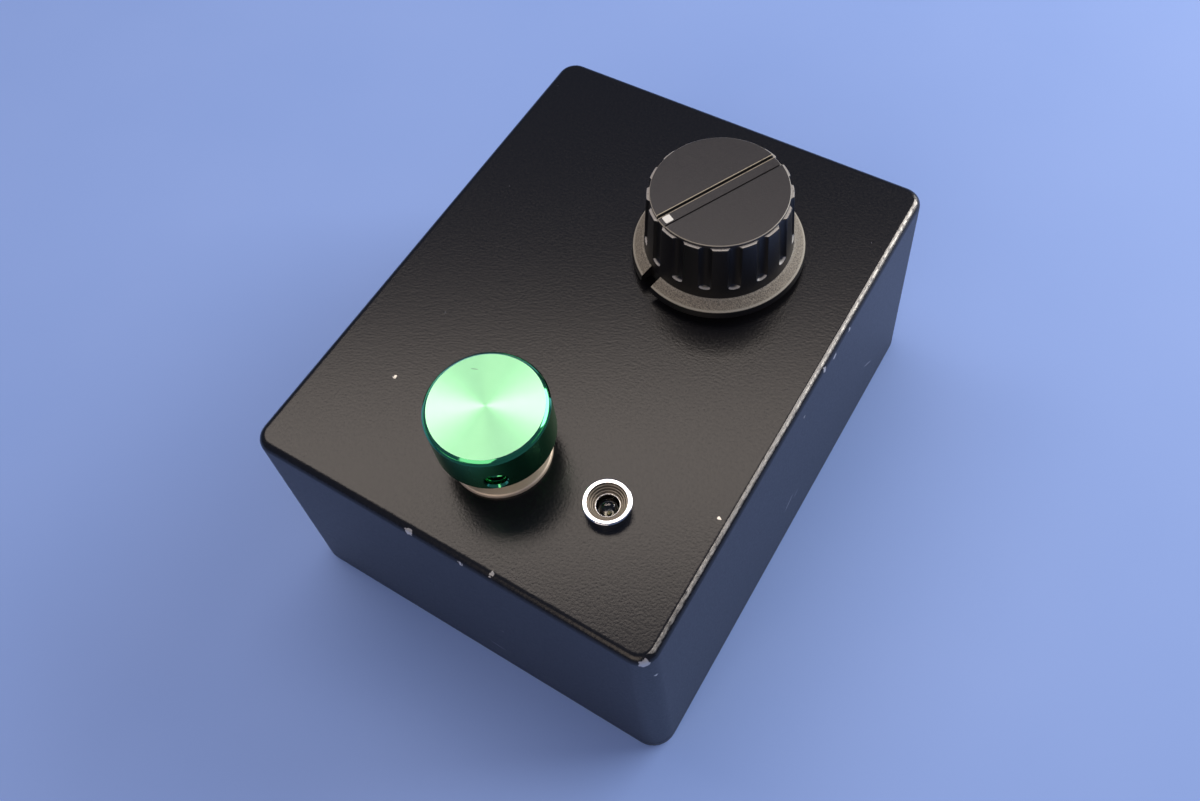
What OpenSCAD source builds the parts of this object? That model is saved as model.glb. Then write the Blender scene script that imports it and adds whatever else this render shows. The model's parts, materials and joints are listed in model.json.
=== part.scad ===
// Bass preamp pedal: a cast box with one level knob, a footswitch under a turned topper,
// an indicator lamp, and two plug jacks and a power jack on the rear wall.
// Millimetres, +Z up. The origin is the middle of the underside and +Y points at the rear wall.

/* [Enclosure] */
// Width of the box at its base
box_w = 94; // [90:0.5:110]
// Length of the box at its base
box_l = 121; // [118:0.5:140]
// Height of the box with its lid
box_h = 55; // [53:0.5:65]
// Thickness of the cast walls and of the panel
wall = 2.4; // [1.8:0.1:3]
// Draft of the cast walls, in degrees
draft = 2.4; // [1:0.1:3]
// Radius of the upright corners at the base, outside
corner_r = 5.2; // [4.6:0.1:8]
// Radius of the upright corners at the base, inside
inner_r = 4; // [3.4:0.1:6]
// Radius of the rounded edge round the panel
edge_r = 1.8; // [0.8:0.1:2.2]
// Radius of the edge round the panel's underside
inner_edge_r = 0.8; // [0.4:0.1:1.5]
// Break of the sharp edges where the box meets its lid
rim_break = 0.05; // [0.02:0.01:0.2]
// Thickness of the lid plate
lid_t = 2.6; // [2:0.1:3.6]
// Radius of the lid's lower edge
lid_edge_r = 0.8; // [0.3:0.1:1.2]
// Height of the locating ribs on the lid
rib_h = 2; // [1:0.1:3]
// Thickness of the locating ribs on the lid
rib_t = 1.6; // [1:0.1:2.4]
// Gap between the end of a rib and the boss beside it
rib_clear = 1.5; // [1:0.1:4]

/* [Lid screws] */
// Distance of each screw boss from the two walls at its corner
boss_in = 7.2; // [6.8:0.1:9]
// Diameter of a screw boss
boss_d = 8.4; // [7:0.1:9]
// Thread diameter of a lid screw
screw_d = 3.5; // [2.5:0.1:4]
// Diameter of a countersunk screw head
screw_head_d = 6.6; // [5.6:0.1:7]
// Height of the countersunk part of a screw head
screw_head_h = 1.9; // [1.4:0.1:2.2]
// Length of a lid screw
screw_l = 14; // [8:0.5:25]
// Spare depth of a boss's hole past the screw's length
screw_spare = 2; // [0.5:0.5:6]
// Depth of a screw head below the lid's underside
screw_sink = 0.2; // [0:0.05:0.4]
// Width of a slot of the cross recess
recess_w = 0.8; // [0.5:0.1:1]
// Length of a slot of the cross recess
recess_l = 3.4; // [2:0.1:4]
// Depth of the cross recess
recess_d = 1.1; // [0.5:0.1:1.6]

/* [Level knob] */
// Distance of the knob to the right of the panel's middle
knob_x = 13.7; // [10:0.1:22]
// Distance of the knob from the rear wall's foot
knob_rear = 36.6; // [32.5:0.1:42.5]
// Direction of the pointer at rest, in degrees
pointer_angle = -117.5; // [-150:0.5:-90]
// Gap between the panel and the knob's underside
knob_gap = 1.9; // [1:0.1:3]
// Diameter of the skirt
skirt_d = 35.4; // [33:0.1:40]
// Height of the skirt's upright rim
skirt_rim_h = 1.6; // [1:0.1:2.4]
// Height of the sloping top of the skirt
skirt_slope_h = 1.5; // [0.6:0.1:2]
// Inward lean of the skirt's rim
skirt_lean = 0.3; // [0:0.05:0.6]
// Radius of the skirt's upper edge
skirt_edge_r = 0.4; // [0.2:0.1:0.8]
// Width of the index notch in the skirt
notch_w = 3.3; // [2:0.1:5]
// Diameter of the grip where it meets the skirt
grip_base_d = 30.1; // [29:0.1:31]
// Diameter of the grip at its upper end
grip_top_d = 28.2; // [27.6:0.1:29]
// Height of the grip above the knob's underside
grip_h = 16.7; // [16:0.1:22]
// Number of flutes round the grip
flutes = 16; // [12:1:18]
// Width of a flute
flute_d = 2.6; // [1.8:0.1:3]
// Distance of the flutes' floor from the knob's axis
flute_floor_r = 13.35; // [13.2:0.05:13.8]
// Height of the flutes' lower ends above the knob's underside
flute_end_h = 5.8; // [4.5:0.1:8]
// Radius of the hollow under the grip
hollow_r = 11.6; // [11:0.1:12]
// Thickness of the web that closes the hollow
web_t = 2.6; // [1.6:0.1:3]
// Number of ribs in the hollow
knob_ribs = 4; // [3:1:8]
// Thickness of a rib in the hollow
knob_rib_t = 1.2; // [0.8:0.1:2]
// Height of the ribs' lower edges above the hub's end
knob_rib_up = 1; // [0.4:0.1:3]
// Outer diameter of the hub round the collet
hub_d = 15.4; // [15:0.1:18]
// Gap between the potentiometer's bush and the hub's end
hub_gap = 0.6; // [0.3:0.1:1.2]

/* [Knob cap] */
// Diameter of the cap's disc
cap_d = 26.9; // [26:0.1:27.4]
// Thickness of the cap's disc
cap_t = 0.75; // [0.7:0.05:1.5]
// Bevel round the cap's disc
cap_bevel = 0.2; // [0.1:0.05:0.4]
// Diameter of the spigot that snaps into the grip
spigot_d = 24.4; // [22:0.1:25]
// Height of that spigot
spigot_h = 2.4; // [1.5:0.1:3]
// Width of the recessed strip across the cap
strip_w = 2.94; // [2:0.1:4]
// Depth of the recessed strip
strip_depth = 0.35; // [0.2:0.05:0.5]
// Side of the square marker in the strip
marker_w = 1.6; // [1:0.1:1.8]
// Distance of the marker from the knob's axis
marker_r = 11.8; // [9:0.1:12]
// Depth of the marker's pocket below the strip
marker_t = 0.3; // [0.2:0.05:0.35]

/* [Collet] */
// Outer diameter of the collet's threaded stem
collet_d = 8.4; // [8:0.1:9]
// Diameter of the collet's head
collet_head_d = 10.8; // [10:0.1:12]
// Height of the straight part of the head
collet_head_h = 0.8; // [0.5:0.1:1.5]
// Height of the head's taper
collet_taper_h = 1.6; // [1:0.1:2.5]
// Length of the straight stem between the head's taper and the nut
collet_stem_l = 4.2; // [3:0.1:5]
// Width of the slits that let the collet close
collet_slit = 0.6; // [0.3:0.1:1]
// Height of the slits
collet_slit_h = 4.5; // [2:0.1:5]
// Width across flats of the collet nut
collet_nut_af = 10; // [9.6:0.1:10.6]
// Thickness of the collet nut
collet_nut_t = 2; // [1.5:0.1:2.4]
// Gap round the nut's corners for the tool that turns it
nut_pocket_gap = 0.3; // [0.2:0.05:0.6]

/* [Potentiometer] */
// Diameter of the turning shaft
shaft_d = 6; // [5:0.1:6.4]
// Thread diameter of the bush
pot_thread_d = 7; // [6.8:0.1:8]
// Height of the bush above the panel
pot_bush_h = 6.2; // [4:0.1:6.6]
// Radius of the front plate and of the track wafer
pot_r = 7.85; // [7.4:0.05:9]
// Thickness of the front plate
pot_plate_t = 1.4; // [1:0.1:2]
// Thickness of the track wafer
wafer_t = 1.4; // [1:0.1:2]
// Gap between the wafer and the shaft
wafer_clear = 0.5; // [0.2:0.1:1]
// Width of the wafer's terminal tab
wafer_tab_w = 13; // [12:0.1:14]
// Reach of the terminal tab from the shaft
wafer_tab_l = 13.5; // [12:0.1:16]
// Depth of the can behind the wafer
can_h = 6.4; // [5.5:0.1:9]
// Thickness of the can's sheet
can_t = 0.5; // [0.4:0.05:0.8]
// Width of the crimped tabs on the can
can_tab_w = 3; // [2:0.1:4]
// Diameter of the wiper's rotor
rotor_d = 13; // [11:0.1:14]
// Thickness of the wiper's rotor
rotor_t = 2; // [1.5:0.1:3]
// Gap between the wafer and the rotor
rotor_gap = 0.4; // [0.2:0.1:0.8]
// Length of the wiper's seat, in from the rotor's edge
wiper_l = 2; // [1:0.1:3]
// Width of the wiper's seat
wiper_w = 3; // [2:0.1:4]
// Depth of the wiper's seat
wiper_t = 0.6; // [0.3:0.1:1]
// Length of the shaft behind the rotor
shaft_tail = 1.2; // [0.8:0.1:1.6]
// Gap between the shaft's upper end and the collet nut's seat
shaft_short = 0.4; // [0.2:0.1:2]
// Spacing of the terminals
terminal_pitch = 5; // [4.5:0.1:5.4]
// Width of a terminal
terminal_w = 2.4; // [1.6:0.1:3]
// Reach of a terminal past the tab
terminal_l = 5; // [3:0.1:6]
// Length of a terminal under the tab
terminal_in = 4; // [2:0.1:5]
// Thickness of a terminal
terminal_t = 0.4; // [0.3:0.05:0.6]
// Diameter of a terminal's solder eye
terminal_eye_d = 1.2; // [0.8:0.1:1.4]
// Width across flats of the nut on the panel
pot_nut_af = 10; // [9:0.1:11]
// Thickness of that nut
pot_nut_t = 2; // [1.5:0.1:2.4]
// Diameter of the washer under that nut
pot_washer_d = 12.4; // [11:0.1:13]
// Thickness of that washer
pot_washer_t = 0.6; // [0.4:0.1:0.8]

/* [Footswitch] */
// Distance of the footswitch from the front wall's foot
switch_front = 24.5; // [20.5:0.5:28.5]
// Thread diameter of the switch's bush
switch_thread_d = 12; // [11.6:0.1:13]
// Height of the bush above the panel
switch_bush_h = 4.6; // [4:0.1:6]
// Length of the bush
switch_bush_l = 12; // [11:0.1:14]
// Height of the bush's inner shoulder above its frame plate
shoulder_h = 2.4; // [1.8:0.1:3]
// Travel of the button
press_travel = 2.6; // [1.5:0.1:3]
// Gap left under the topper at full press
press_gap = 0.4; // [0.3:0.1:1]
// Diameter of the washer on the panel
switch_washer_d = 19.7; // [18:0.1:21]
// Thickness of that washer
switch_washer_t = 1; // [0.6:0.1:1.4]
// Radius of that washer's upper edge
switch_washer_r = 0.3; // [0.1:0.05:0.5]
// Width across flats of the nuts
switch_nut_af = 14; // [13.6:0.1:15]
// Thickness of the nut on the panel
switch_nut_t = 2.6; // [2:0.1:3]
// Thickness of the nut below the panel
lock_nut_t = 2; // [1.5:0.1:2.4]
// Diameter of the plunger
plunger_d = 8; // [7:0.1:8.4]
// Diameter of the collar that keeps the plunger in
collar_d = 9.6; // [9.2:0.1:9.8]
// Thickness of that collar
collar_t = 1.6; // [1:0.1:2]
// Gap round the collar in its guide
guide_gap = 0.35; // [0.2:0.05:0.6]
// Bevel round the plunger's upper end
plunger_bevel = 0.5; // [0.2:0.1:1]
// Length of the plunger's tip inside the spring
plunger_tip_l = 2; // [1:0.1:3]
// Depth of the plunger in the topper
plunger_grip = 7; // [5:0.1:7.6]
// Side of the square switch case
case_w = 17; // [16:0.1:20]
// Height of the switch case
case_h = 13; // [12:0.1:18]
// Chamfer of the case's upright edges
case_chamfer = 1; // [0.4:0.1:2]
// Thickness of the steel frame plate on the case
frame_t = 1.2; // [0.8:0.1:2]
// Depth of the spring's well in the case
well_d = 10; // [8:0.1:11]
// Number of solder lugs along each side
lug_rows = 3; // [2:1:3]
// Spacing of the solder lugs
lug_pitch = 5.2; // [4.5:0.1:5.4]
// Width of a solder lug
lug_w = 2.2; // [1.5:0.1:2.6]
// Thickness of a solder lug
lug_t = 0.6; // [0.4:0.1:1]
// Length of a solder lug
lug_l = 5; // [3:0.1:6]

/* [Return spring] */
// Mean diameter of the spring's curls
spring_d = 7; // [6.6:0.1:7.6]
// Diameter of the spring's wire
spring_wire_d = 0.8; // [0.5:0.1:1]
// Number of curls
spring_turns = 6; // [4:1:7]
// Gap between the spring and the plunger's tip
spring_play = 0.3; // [0.2:0.05:0.5]

/* [Topper] */
// Diameter of the topper
topper_d = 22.9; // [22:0.1:25]
// Height of the topper
topper_h = 9.7; // [9:0.1:14]
// Width of the bevel round the topper's face
topper_bevel_w = 0.9; // [0.4:0.1:1.5]
// Height of that bevel
topper_bevel_h = 0.7; // [0.3:0.1:1.2]
// Bevel round the topper's lower edge
topper_foot_bevel = 0.25; // [0.1:0.05:0.5]
// Diameter of the grub screw
grub_d = 4; // [3:0.1:4.2]
// Length of the grub screw
grub_l = 5; // [3:0.1:6]
// Height of the grub screw above the topper's underside
grub_h = 2.7; // [2.4:0.1:4]
// Direction of the grub screw, in degrees
grub_angle = -52; // [-180:1:180]
// Width across flats of the grub screw's socket
grub_socket_af = 2; // [1.3:0.1:2.4]
// Depth of the grub screw's socket
grub_socket_d = 2; // [1:0.1:2.5]
// Countersink round the grub screw's hole
grub_sink = 0.3; // [0.1:0.05:0.5]

/* [Indicator lamp] */
// Distance of the lamp to the right of the footswitch
lamp_x = 23.5; // [19:0.1:30]
// Diameter of the bezel's rim
bezel_d = 9.2; // [9:0.1:11]
// Height of the bezel's rim above the panel
bezel_h = 2.5; // [1.5:0.1:3]
// Radius of the rim's outer edge
bezel_edge_r = 0.3; // [0.1:0.05:0.5]
// Diameter of the bezel's mouth
bezel_mouth_d = 7.2; // [6.6:0.1:7.8]
// Depth of the conical reflector
reflector_depth = 3; // [2.6:0.1:4]
// Thread diameter of the bezel
bezel_thread_d = 8; // [7.6:0.1:8.4]
// Length of the bezel's thread below the panel's face
bezel_thread_l = 11; // [9:0.1:14]
// Width across flats of the bezel's nut
bezel_nut_af = 10.4; // [10:0.1:12]
// Thickness of the bezel's nut
bezel_nut_t = 2.2; // [1.5:0.1:3]
// Diameter of the lamp's lens
lamp_d = 5; // [4.6:0.1:5.2]
// Height of the lens over its flange, dome included
lamp_h = 7.7; // [7:0.1:8.5]
// Diameter of the lens flange
lamp_flange_d = 5.8; // [5.6:0.1:6]
// Thickness of the lens flange
lamp_flange_t = 1; // [0.8:0.1:1.4]
// Depth of the lens tip below the rim
lamp_tip_depth = 1.4; // [0.6:0.1:2.5]
// Spacing of the lamp's two leads
lead_pitch = 2.54; // [2:0.02:3]
// Side of a lamp lead
lead_w = 0.5; // [0.4:0.05:0.7]
// Length of the lamp's leads below its flange
lead_l = 12; // [8:0.5:14]
// Height inside the lens at which the leads widen into their frame
frame_foot_h = 1.2; // [0.8:0.1:2]
// Thickness of the lead frame
lead_frame_t = 0.5; // [0.3:0.05:0.7]
// Width of the plate under the lamp's chip
anvil_w = 1.9; // [1.4:0.1:2]
// Height of that plate
anvil_h = 3.4; // [2.5:0.1:3.8]
// Width of the post beside it
post_w = 0.55; // [0.4:0.05:0.7]
// Height of that post
post_h = 4; // [2.5:0.1:4.4]
// Thickness of the clip that holds the lamp in the bezel
clip_t = 3.4; // [2:0.1:3.8]

/* [Jacks] */
// Distance of each plug jack from the foot of the side wall beside it
jack_in = 22; // [21:0.5:25]
// Height of the jacks
jack_z = 26; // [22:0.5:30]
// Bore for the plug
jack_bore_d = 6.4; // [6.35:0.05:6.6]
// Thread diameter of the jack's bush
jack_thread_d = 9.5; // [9:0.1:10]
// Length of the bush outside the wall
jack_bush_out = 4.6; // [4:0.1:7]
// Length of the bush inside the wall
jack_bush_in = 4; // [3:0.1:5]
// Width across flats of the jack's nut
jack_nut_af = 12.6; // [12:0.1:14]
// Thickness of the jack's nut
jack_nut_t = 2.4; // [2:0.1:3]
// Diameter of the washer under the nut
jack_washer_d = 14.4; // [14:0.1:16]
// Thickness of that washer
jack_washer_t = 0.6; // [0.4:0.1:1]
// Side of the square jack housing
jack_case_w = 16; // [15:0.1:17]
// Length of the jack housing
jack_case_l = 23; // [20:0.5:26]
// Thickness of the housing's walls
jack_case_t = 1.8; // [1.2:0.1:2.2]
// Thickness of the contact strip
contact_t = 0.4; // [0.3:0.05:0.6]
// Width of the contact strip
contact_w = 4; // [2.5:0.1:5]
// Length of a contact behind the housing
contact_tail = 5; // [3:0.1:7]
// Gap between a contact and the housing's side wall
contact_in = 0.3; // [0.1:0.05:0.5]
// Distance of the tip spring's fold from the bush
tip_fold_l = 2; // [1:0.1:3]
// Height of the tip spring's fold
tip_fold_h = 0.6; // [0.4:0.1:1]
// Inward step of the tip spring's fold
tip_fold_w = 0.4; // [0.2:0.1:0.8]
// Distance of the tip spring's bow from the bush
tip_bow_l = 9; // [7:0.1:10]
// Distance of that bow from the plug's axis
tip_bow_x = 2.3; // [2:0.1:2.6]
// Length of the flared end past the bow
tip_flare_l = 2.5; // [1.5:0.1:3]
// Outward flare of that end
tip_flare_w = 0.8; // [0.4:0.1:1.2]
// Distance of the sleeve strip's bend from the bush
sleeve_bend_l = 1.2; // [0.8:0.1:2]
// Gap between the sleeve strip and the plug's bore
sleeve_gap = 0.4; // [0.2:0.1:0.8]

/* [Power jack] */
// Diameter of the power jack's flange
power_flange_d = 14.4; // [14:0.1:16]
// Thickness of that flange
power_flange_t = 2; // [1.5:0.1:3]
// Thread diameter of the power jack's barrel
power_thread_d = 12; // [11:0.1:12.4]
// Length of the barrel inside the wall
power_barrel_l = 13; // [11:0.1:16]
// Diameter of the socket
power_socket_d = 5.6; // [5.5:0.1:6.4]
// Depth of the socket
power_socket_depth = 10; // [8:0.1:11]
// Diameter of the centre pin
power_pin_d = 2.1; // [1.9:0.1:2.5]
// Depth of the pin's tip in the socket
power_pin_depth = 1; // [0.5:0.1:2]
// Width across flats of the power jack's nut
power_nut_af = 15; // [14:0.1:16]
// Thickness of that nut
power_nut_t = 2.4; // [2:0.1:3]
// Length of the tails behind the barrel
power_tail = 4; // [3:0.1:6]
// Width of the side contact
power_strip_w = 2; // [1.5:0.1:2.6]
// Depth of the side contact's groove outside the socket
power_groove = 0.9; // [0.6:0.05:1.2]
// Distance from the wall to the bend of the side contact
power_bend = 4; // [3:0.1:6]
// Distance from the wall to the end of the side contact
power_spring_end = 0.6; // [0.4:0.1:2]
// Inward bow of the side contact
power_bow = 0.2; // [0.1:0.05:0.4]

/* [Circuit board] */
// Width of the board
board_w = 34; // [30:0.5:36]
// Length of the board
board_l = 44; // [42:0.5:50]
// Thickness of the board
board_t = 1.6; // [1:0.1:2]
// Distance of the board's edge from the foot of the left wall
board_side = 8; // [7:0.5:9]
// Place of the board's middle along the panel
board_y = 6; // [2:0.5:8]
// Gap between the panel and the board
board_gap = 9; // [7:0.1:11]
// Distance of the pillars from the board's edges
pillar_in = 3.2; // [3:0.1:5]
// Diameter of a pillar
pillar_d = 5.2; // [4:0.1:6]
// Diameter of a pillar's adhesive foot
pillar_foot_d = 10; // [7:0.1:12]
// Thickness of a pillar's foot
pillar_foot_t = 1; // [0.6:0.1:2]
// Diameter of the snap pin on a pillar
pillar_pin_d = 3; // [2:0.1:3.4]
// Length of the snap pin past the board
pillar_pin_l = 1.4; // [0.8:0.1:2]

/* [Board parts] */
// Width of the amplifier chip's package
chip_w = 6.4; // [6:0.1:7]
// Length of that package
chip_l = 9.6; // [9:0.1:10.5]
// Thickness of that package
chip_t = 3.4; // [2.5:0.1:4]
// Gap between the package and the board
chip_gap = 0.6; // [0.3:0.1:1]
// Spacing of the chip's legs
leg_pitch = 2.54; // [2:0.02:2.6]
// Width of a leg
leg_w = 0.5; // [0.4:0.05:0.8]
// Reach of a leg past the package
leg_l = 0.7; // [0.4:0.1:1.2]
// Diameter of an electrolytic capacitor
can_cap_d = 6.3; // [5:0.1:7]
// Height of an electrolytic capacitor
can_cap_h = 8.5; // [7:0.1:11]
// Bevel and groove of its can
can_cap_groove = 0.3; // [0.2:0.05:0.5]
// Height of that groove above the board
can_cap_groove_h = 1.4; // [1:0.1:2]
// Length of a film capacitor
film_cap_l = 7.2; // [6:0.1:7.6]
// Width of a film capacitor
film_cap_w = 2.6; // [2:0.1:3]
// Height of a film capacitor
film_cap_h = 6.4; // [5:0.1:8]
// Number of resistors
resistor_rows = 6; // [3:1:7]
// Spacing of the resistors
resistor_pitch = 3.4; // [3:0.1:3.8]
// Diameter of a resistor
resistor_d = 2.3; // [1.8:0.1:2.6]
// Length of a resistor's body
resistor_l = 6; // [5:0.1:7]
// Length of the bulge at each end of a resistor
resistor_end_l = 1.6; // [1:0.1:2]
// Step between those bulges and the body
resistor_step = 0.25; // [0.1:0.05:0.4]
// Distance between a resistor's two leads
resistor_span = 9.4; // [8.5:0.1:10]
// Diameter of a resistor's leads
resistor_lead_d = 0.6; // [0.4:0.1:0.8]
// Gap between a resistor and the board
resistor_gap = 0.3; // [0.1:0.1:1]

/* [Wiring] */
// Diameter of a hook-up wire
wire_d = 1.3; // [1:0.1:1.5]
// Gap between a wire's end and its solder point
wire_gap = 0.15; // [0.1:0.01:0.3]
// Drop of a wire from the board before it bends over
wire_drop = 14; // [10:0.5:18]
// Reach of a wire from a jack before it bends over
wire_reach = 16; // [10:0.5:18]
// Distance of the wires' pads from the board's side edge
pad_in = 2; // [1.5:0.1:3]

/* [Clearances] */
// Gap round what is fitted into a hole or screwed on a thread
fit_gap = 0.1; // [0.05:0.01:0.15]
// Gap round a shaft or plunger in its bush
run_gap = 0.05; // [0.02:0.01:0.08]

/* [Hidden] */
$fn = 64;
fine_fn = 96;
small_fn = 24;
lead_fn = 16;
hull_fn = 32;
arc_steps = 6;
cut = 1;
sink = 0.2;
lean = tan(draft);
panel_z = box_h;
under_z = box_h - wall;
wall_n = wall * cos(draft);
knob_y = box_l / 2 - knob_rear;
switch_y = switch_front - box_l / 2;
jack_x = box_w / 2 - jack_in;

function rear_y(z) = box_l / 2 - z * lean;

// A point given in the rear wall's own frame: across, down and outwards from (x, z) on its face.
function rear_point(x, z, p) = [
    x + p[0],
    rear_y(z) + p[1] * sin(draft) + p[2] * cos(draft),
    z - p[1] * cos(draft) + p[2] * sin(draft)
];

// Points of a round from angle a0 to a1 about (cx, cz).
function round_over(cx, cz, r, a0, a1) =
    [for (i = [0 : arc_steps]) let (a = a0 + (a1 - a0) * i / arc_steps) [cx + r * cos(a), cz + r * sin(a)]];

// Outline of a bent strip of thickness t, to the left of the path.
function normal(a, b) = let (d = b - a) [-d[1], d[0]] / norm(d);
function strip_outline(path, t) =
    let (
        last = len(path) - 1,
        far = [for (i = [0 : last])
            let (
                a = normal(path[max(i - 1, 0)], path[max(i, 1)]),
                b = normal(path[min(i, last - 1)], path[min(i + 1, last)])
            )
            path[i] + (a + b) * t / (1 + a * b)]
    )
    concat(path, [for (i = [last : -1 : 0]) far[i]]);

// Tube of n sides swept along points, with a frame carried from ring to ring.
function unit(v) = v / norm(v);
function tangent(path, i) = unit(path[min(i + 1, len(path) - 1)] - path[max(i - 1, 0)]);
function first_side(t) = unit(cross(t, abs(t[2]) < 0.9 ? [0, 0, 1] : [1, 0, 0]));
function sides(path) =
    [for (i = 0, s = first_side(tangent(path, 0)); i < len(path);
          i = i + 1, s = i < len(path) ? unit(s - tangent(path, i) * (s * tangent(path, i))) : s) s];

module tube(path, d, n) {
    rings = len(path);
    side = sides(path);
    points = [for (i = [0 : rings - 1], k = [0 : n - 1])
        let (up = cross(tangent(path, i), side[i]), a = 360 * k / n)
        path[i] + (side[i] * cos(a) + up * sin(a)) * d / 2];
    skin = [for (i = [0 : rings - 2], k = [0 : n - 1])
        let (a = i * n + k, b = i * n + (k + 1) % n)
        each [[a, a + n, b], [b, a + n, b + n]]];
    lid_a = [for (k = [1 : n - 2]) [0, k, k + 1]];
    lid_b = [for (k = [1 : n - 2]) [(rings - 1) * n, (rings - 1) * n + k + 1, (rings - 1) * n + k]];
    polyhedron(points, concat(skin, lid_a, lid_b));
}

function hex_corners(af) = af / cos(30);
module hex(af, h) { cylinder(d = hex_corners(af), h = h, $fn = 6); }

module ring(d, bore, h) {
    difference() {
        cylinder(d = d, h = h);
        translate([0, 0, -cut]) cylinder(d = bore, h = h + 2 * cut);
    }
}

module nut(af, bore, h) {
    difference() {
        hex(af, h);
        translate([0, 0, -cut]) cylinder(d = bore, h = h + 2 * cut);
    }
}

// Frame of the rear wall: its Z axis points out of the wall.
module on_rear_wall(x) { translate([x, rear_y(jack_z), jack_z]) rotate([draft - 90, 0, 0]) children(); }
module at_knob(z) { translate([knob_x, knob_y, z]) rotate([0, 0, pointer_angle]) children(); }
module at_pot(z) { translate([knob_x, knob_y, z]) children(); }
module at_switch(z) { translate([0, switch_y, z]) children(); }
module at_lamp(z) { translate([lamp_x, switch_y, z]) children(); }
module at_screws() {
    for (sx = [-1, 1], sy = [-1, 1])
        translate([sx * (box_w / 2 - boss_in), sy * (box_l / 2 - boss_in), 0]) children();
}

// Cast box: an upright corner post with drafted sides, and the hull of four of them.
// w, l and r are the sizes that the drafted sides reach at the height of the origin.
module corner_post(r, z0, z1, top_r, foot_r) {
    foot_z = z0 + foot_r;
    top_z = z1 - top_r;
    rotate_extrude($fn = hull_fn)
        polygon(concat(
            [[0, z0]],
            round_over(r - foot_z * lean - foot_r / cos(draft), foot_z, foot_r, -90, draft),
            round_over(r - top_z * lean - top_r / cos(draft), top_z, top_r, draft, 90),
            [[0, z1]]));
}

module cast_block(w, l, r, z0, z1, top_r, foot_r) {
    hull()
        for (sx = [-1, 1], sy = [-1, 1])
            translate([sx * (w / 2 - r), sy * (l / 2 - r), 0]) corner_post(r, z0, z1, top_r, foot_r);
}

boss_hole_d = screw_d + fit_gap;
boss_hole_l = screw_l + screw_spare;
jack_hole_d = jack_thread_d + 2 * fit_gap;
power_hole_d = power_thread_d + 2 * fit_gap;
switch_hole_d = switch_thread_d + 2 * fit_gap;
pot_hole_d = pot_thread_d + 2 * fit_gap;
bezel_hole_d = bezel_thread_d + 2 * fit_gap;

module panel_hole(d) { translate([0, 0, under_z - cut]) cylinder(d = d, h = wall + 2 * cut); }
module wall_hole(d) { translate([0, 0, -wall_n - cut]) cylinder(d = d, h = wall_n + 2 * cut); }

module enclosure_body() {
    color("#26262a")
    difference() {
        union() {
            difference() {
                cast_block(box_w, box_l, corner_r, lid_t, box_h, edge_r, rim_break);
                cast_block(
                    box_w - 2 * wall, box_l - 2 * wall, inner_r,
                    lid_t - cut, under_z, inner_edge_r, rim_break);
            }
            at_screws() translate([0, 0, lid_t]) cylinder(d = boss_d, h = under_z + sink - lid_t);
        }
        at_screws() translate([0, 0, lid_t - cut]) cylinder(d = boss_hole_d, h = boss_hole_l + cut);
        at_pot(0) panel_hole(pot_hole_d);
        at_switch(0) panel_hole(switch_hole_d);
        at_lamp(0) panel_hole(bezel_hole_d);
        for (x = [-jack_x, jack_x]) on_rear_wall(x) wall_hole(jack_hole_d);
        on_rear_wall(0) wall_hole(power_hole_d);
    }
}

// Lid: a plate with locating ribs inside the walls and countersunk holes.
screw_slope = (screw_head_d - screw_d) / 2 / screw_head_h;
rib_end = boss_in + boss_d / 2 + rib_clear;
rib_x = box_w / 2 - wall - (lid_t + rib_h) * lean - 2 * fit_gap;
rib_y = box_l / 2 - wall - (lid_t + rib_h) * lean - 2 * fit_gap;

module lid_rib(reach, length) {
    translate([reach - rib_t, -length / 2, lid_t - sink]) cube([rib_t, length, rib_h + sink]);
}

module bottom_lid() {
    color("#202024")
    difference() {
        union() {
            cast_block(box_w, box_l, corner_r, 0, lid_t, rim_break, lid_edge_r);
            for (a = [0, 180]) rotate([0, 0, a]) lid_rib(rib_x, box_l - 2 * rib_end);
            for (a = [90, 270]) rotate([0, 0, a]) lid_rib(rib_y, box_w - 2 * rib_end);
        }
        at_screws() {
            translate([0, 0, -cut]) cylinder(d = screw_d + 4 * fit_gap, h = lid_t + 2 * cut);
            translate([0, 0, -cut])
                cylinder(
                    d1 = screw_head_d + 2 * fit_gap + 2 * (screw_sink + cut) * screw_slope,
                    d2 = screw_d + 2 * fit_gap,
                    h = screw_head_h + screw_sink + cut);
        }
    }
}

module lid_screws() {
    color("#9a9a9e")
    at_screws() translate([0, 0, screw_sink])
        difference() {
            union() {
                cylinder(d1 = screw_head_d, d2 = screw_d, h = screw_head_h);
                translate([0, 0, screw_head_h / 2]) cylinder(d = screw_d, h = screw_l - screw_head_h / 2);
            }
            for (a = [0, 90]) rotate([0, 0, a])
                translate([-recess_l / 2, -recess_w / 2, -cut]) cube([recess_l, recess_w, recess_d + cut]);
        }
}

// Level knob: a fluted grip on a notched skirt, hollow underneath, with a hub for the collet.
knob_z = panel_z + knob_gap;
skirt_h = skirt_rim_h + skirt_slope_h;
skirt_edge_arc = 60;
cap_recess_h = spigot_h + fit_gap;
hollow_h = grip_h - cap_recess_h - web_t;
hub_z = pot_bush_h - knob_gap + hub_gap;
nut_seat_h = hub_z + collet_head_h + collet_taper_h + collet_stem_l;
collet_bore_d = collet_d + 2 * run_gap;
collet_seat_d = collet_head_d + 2 * run_gap;
nut_pocket_d = hex_corners(collet_nut_af) + 2 * nut_pocket_gap;

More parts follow.
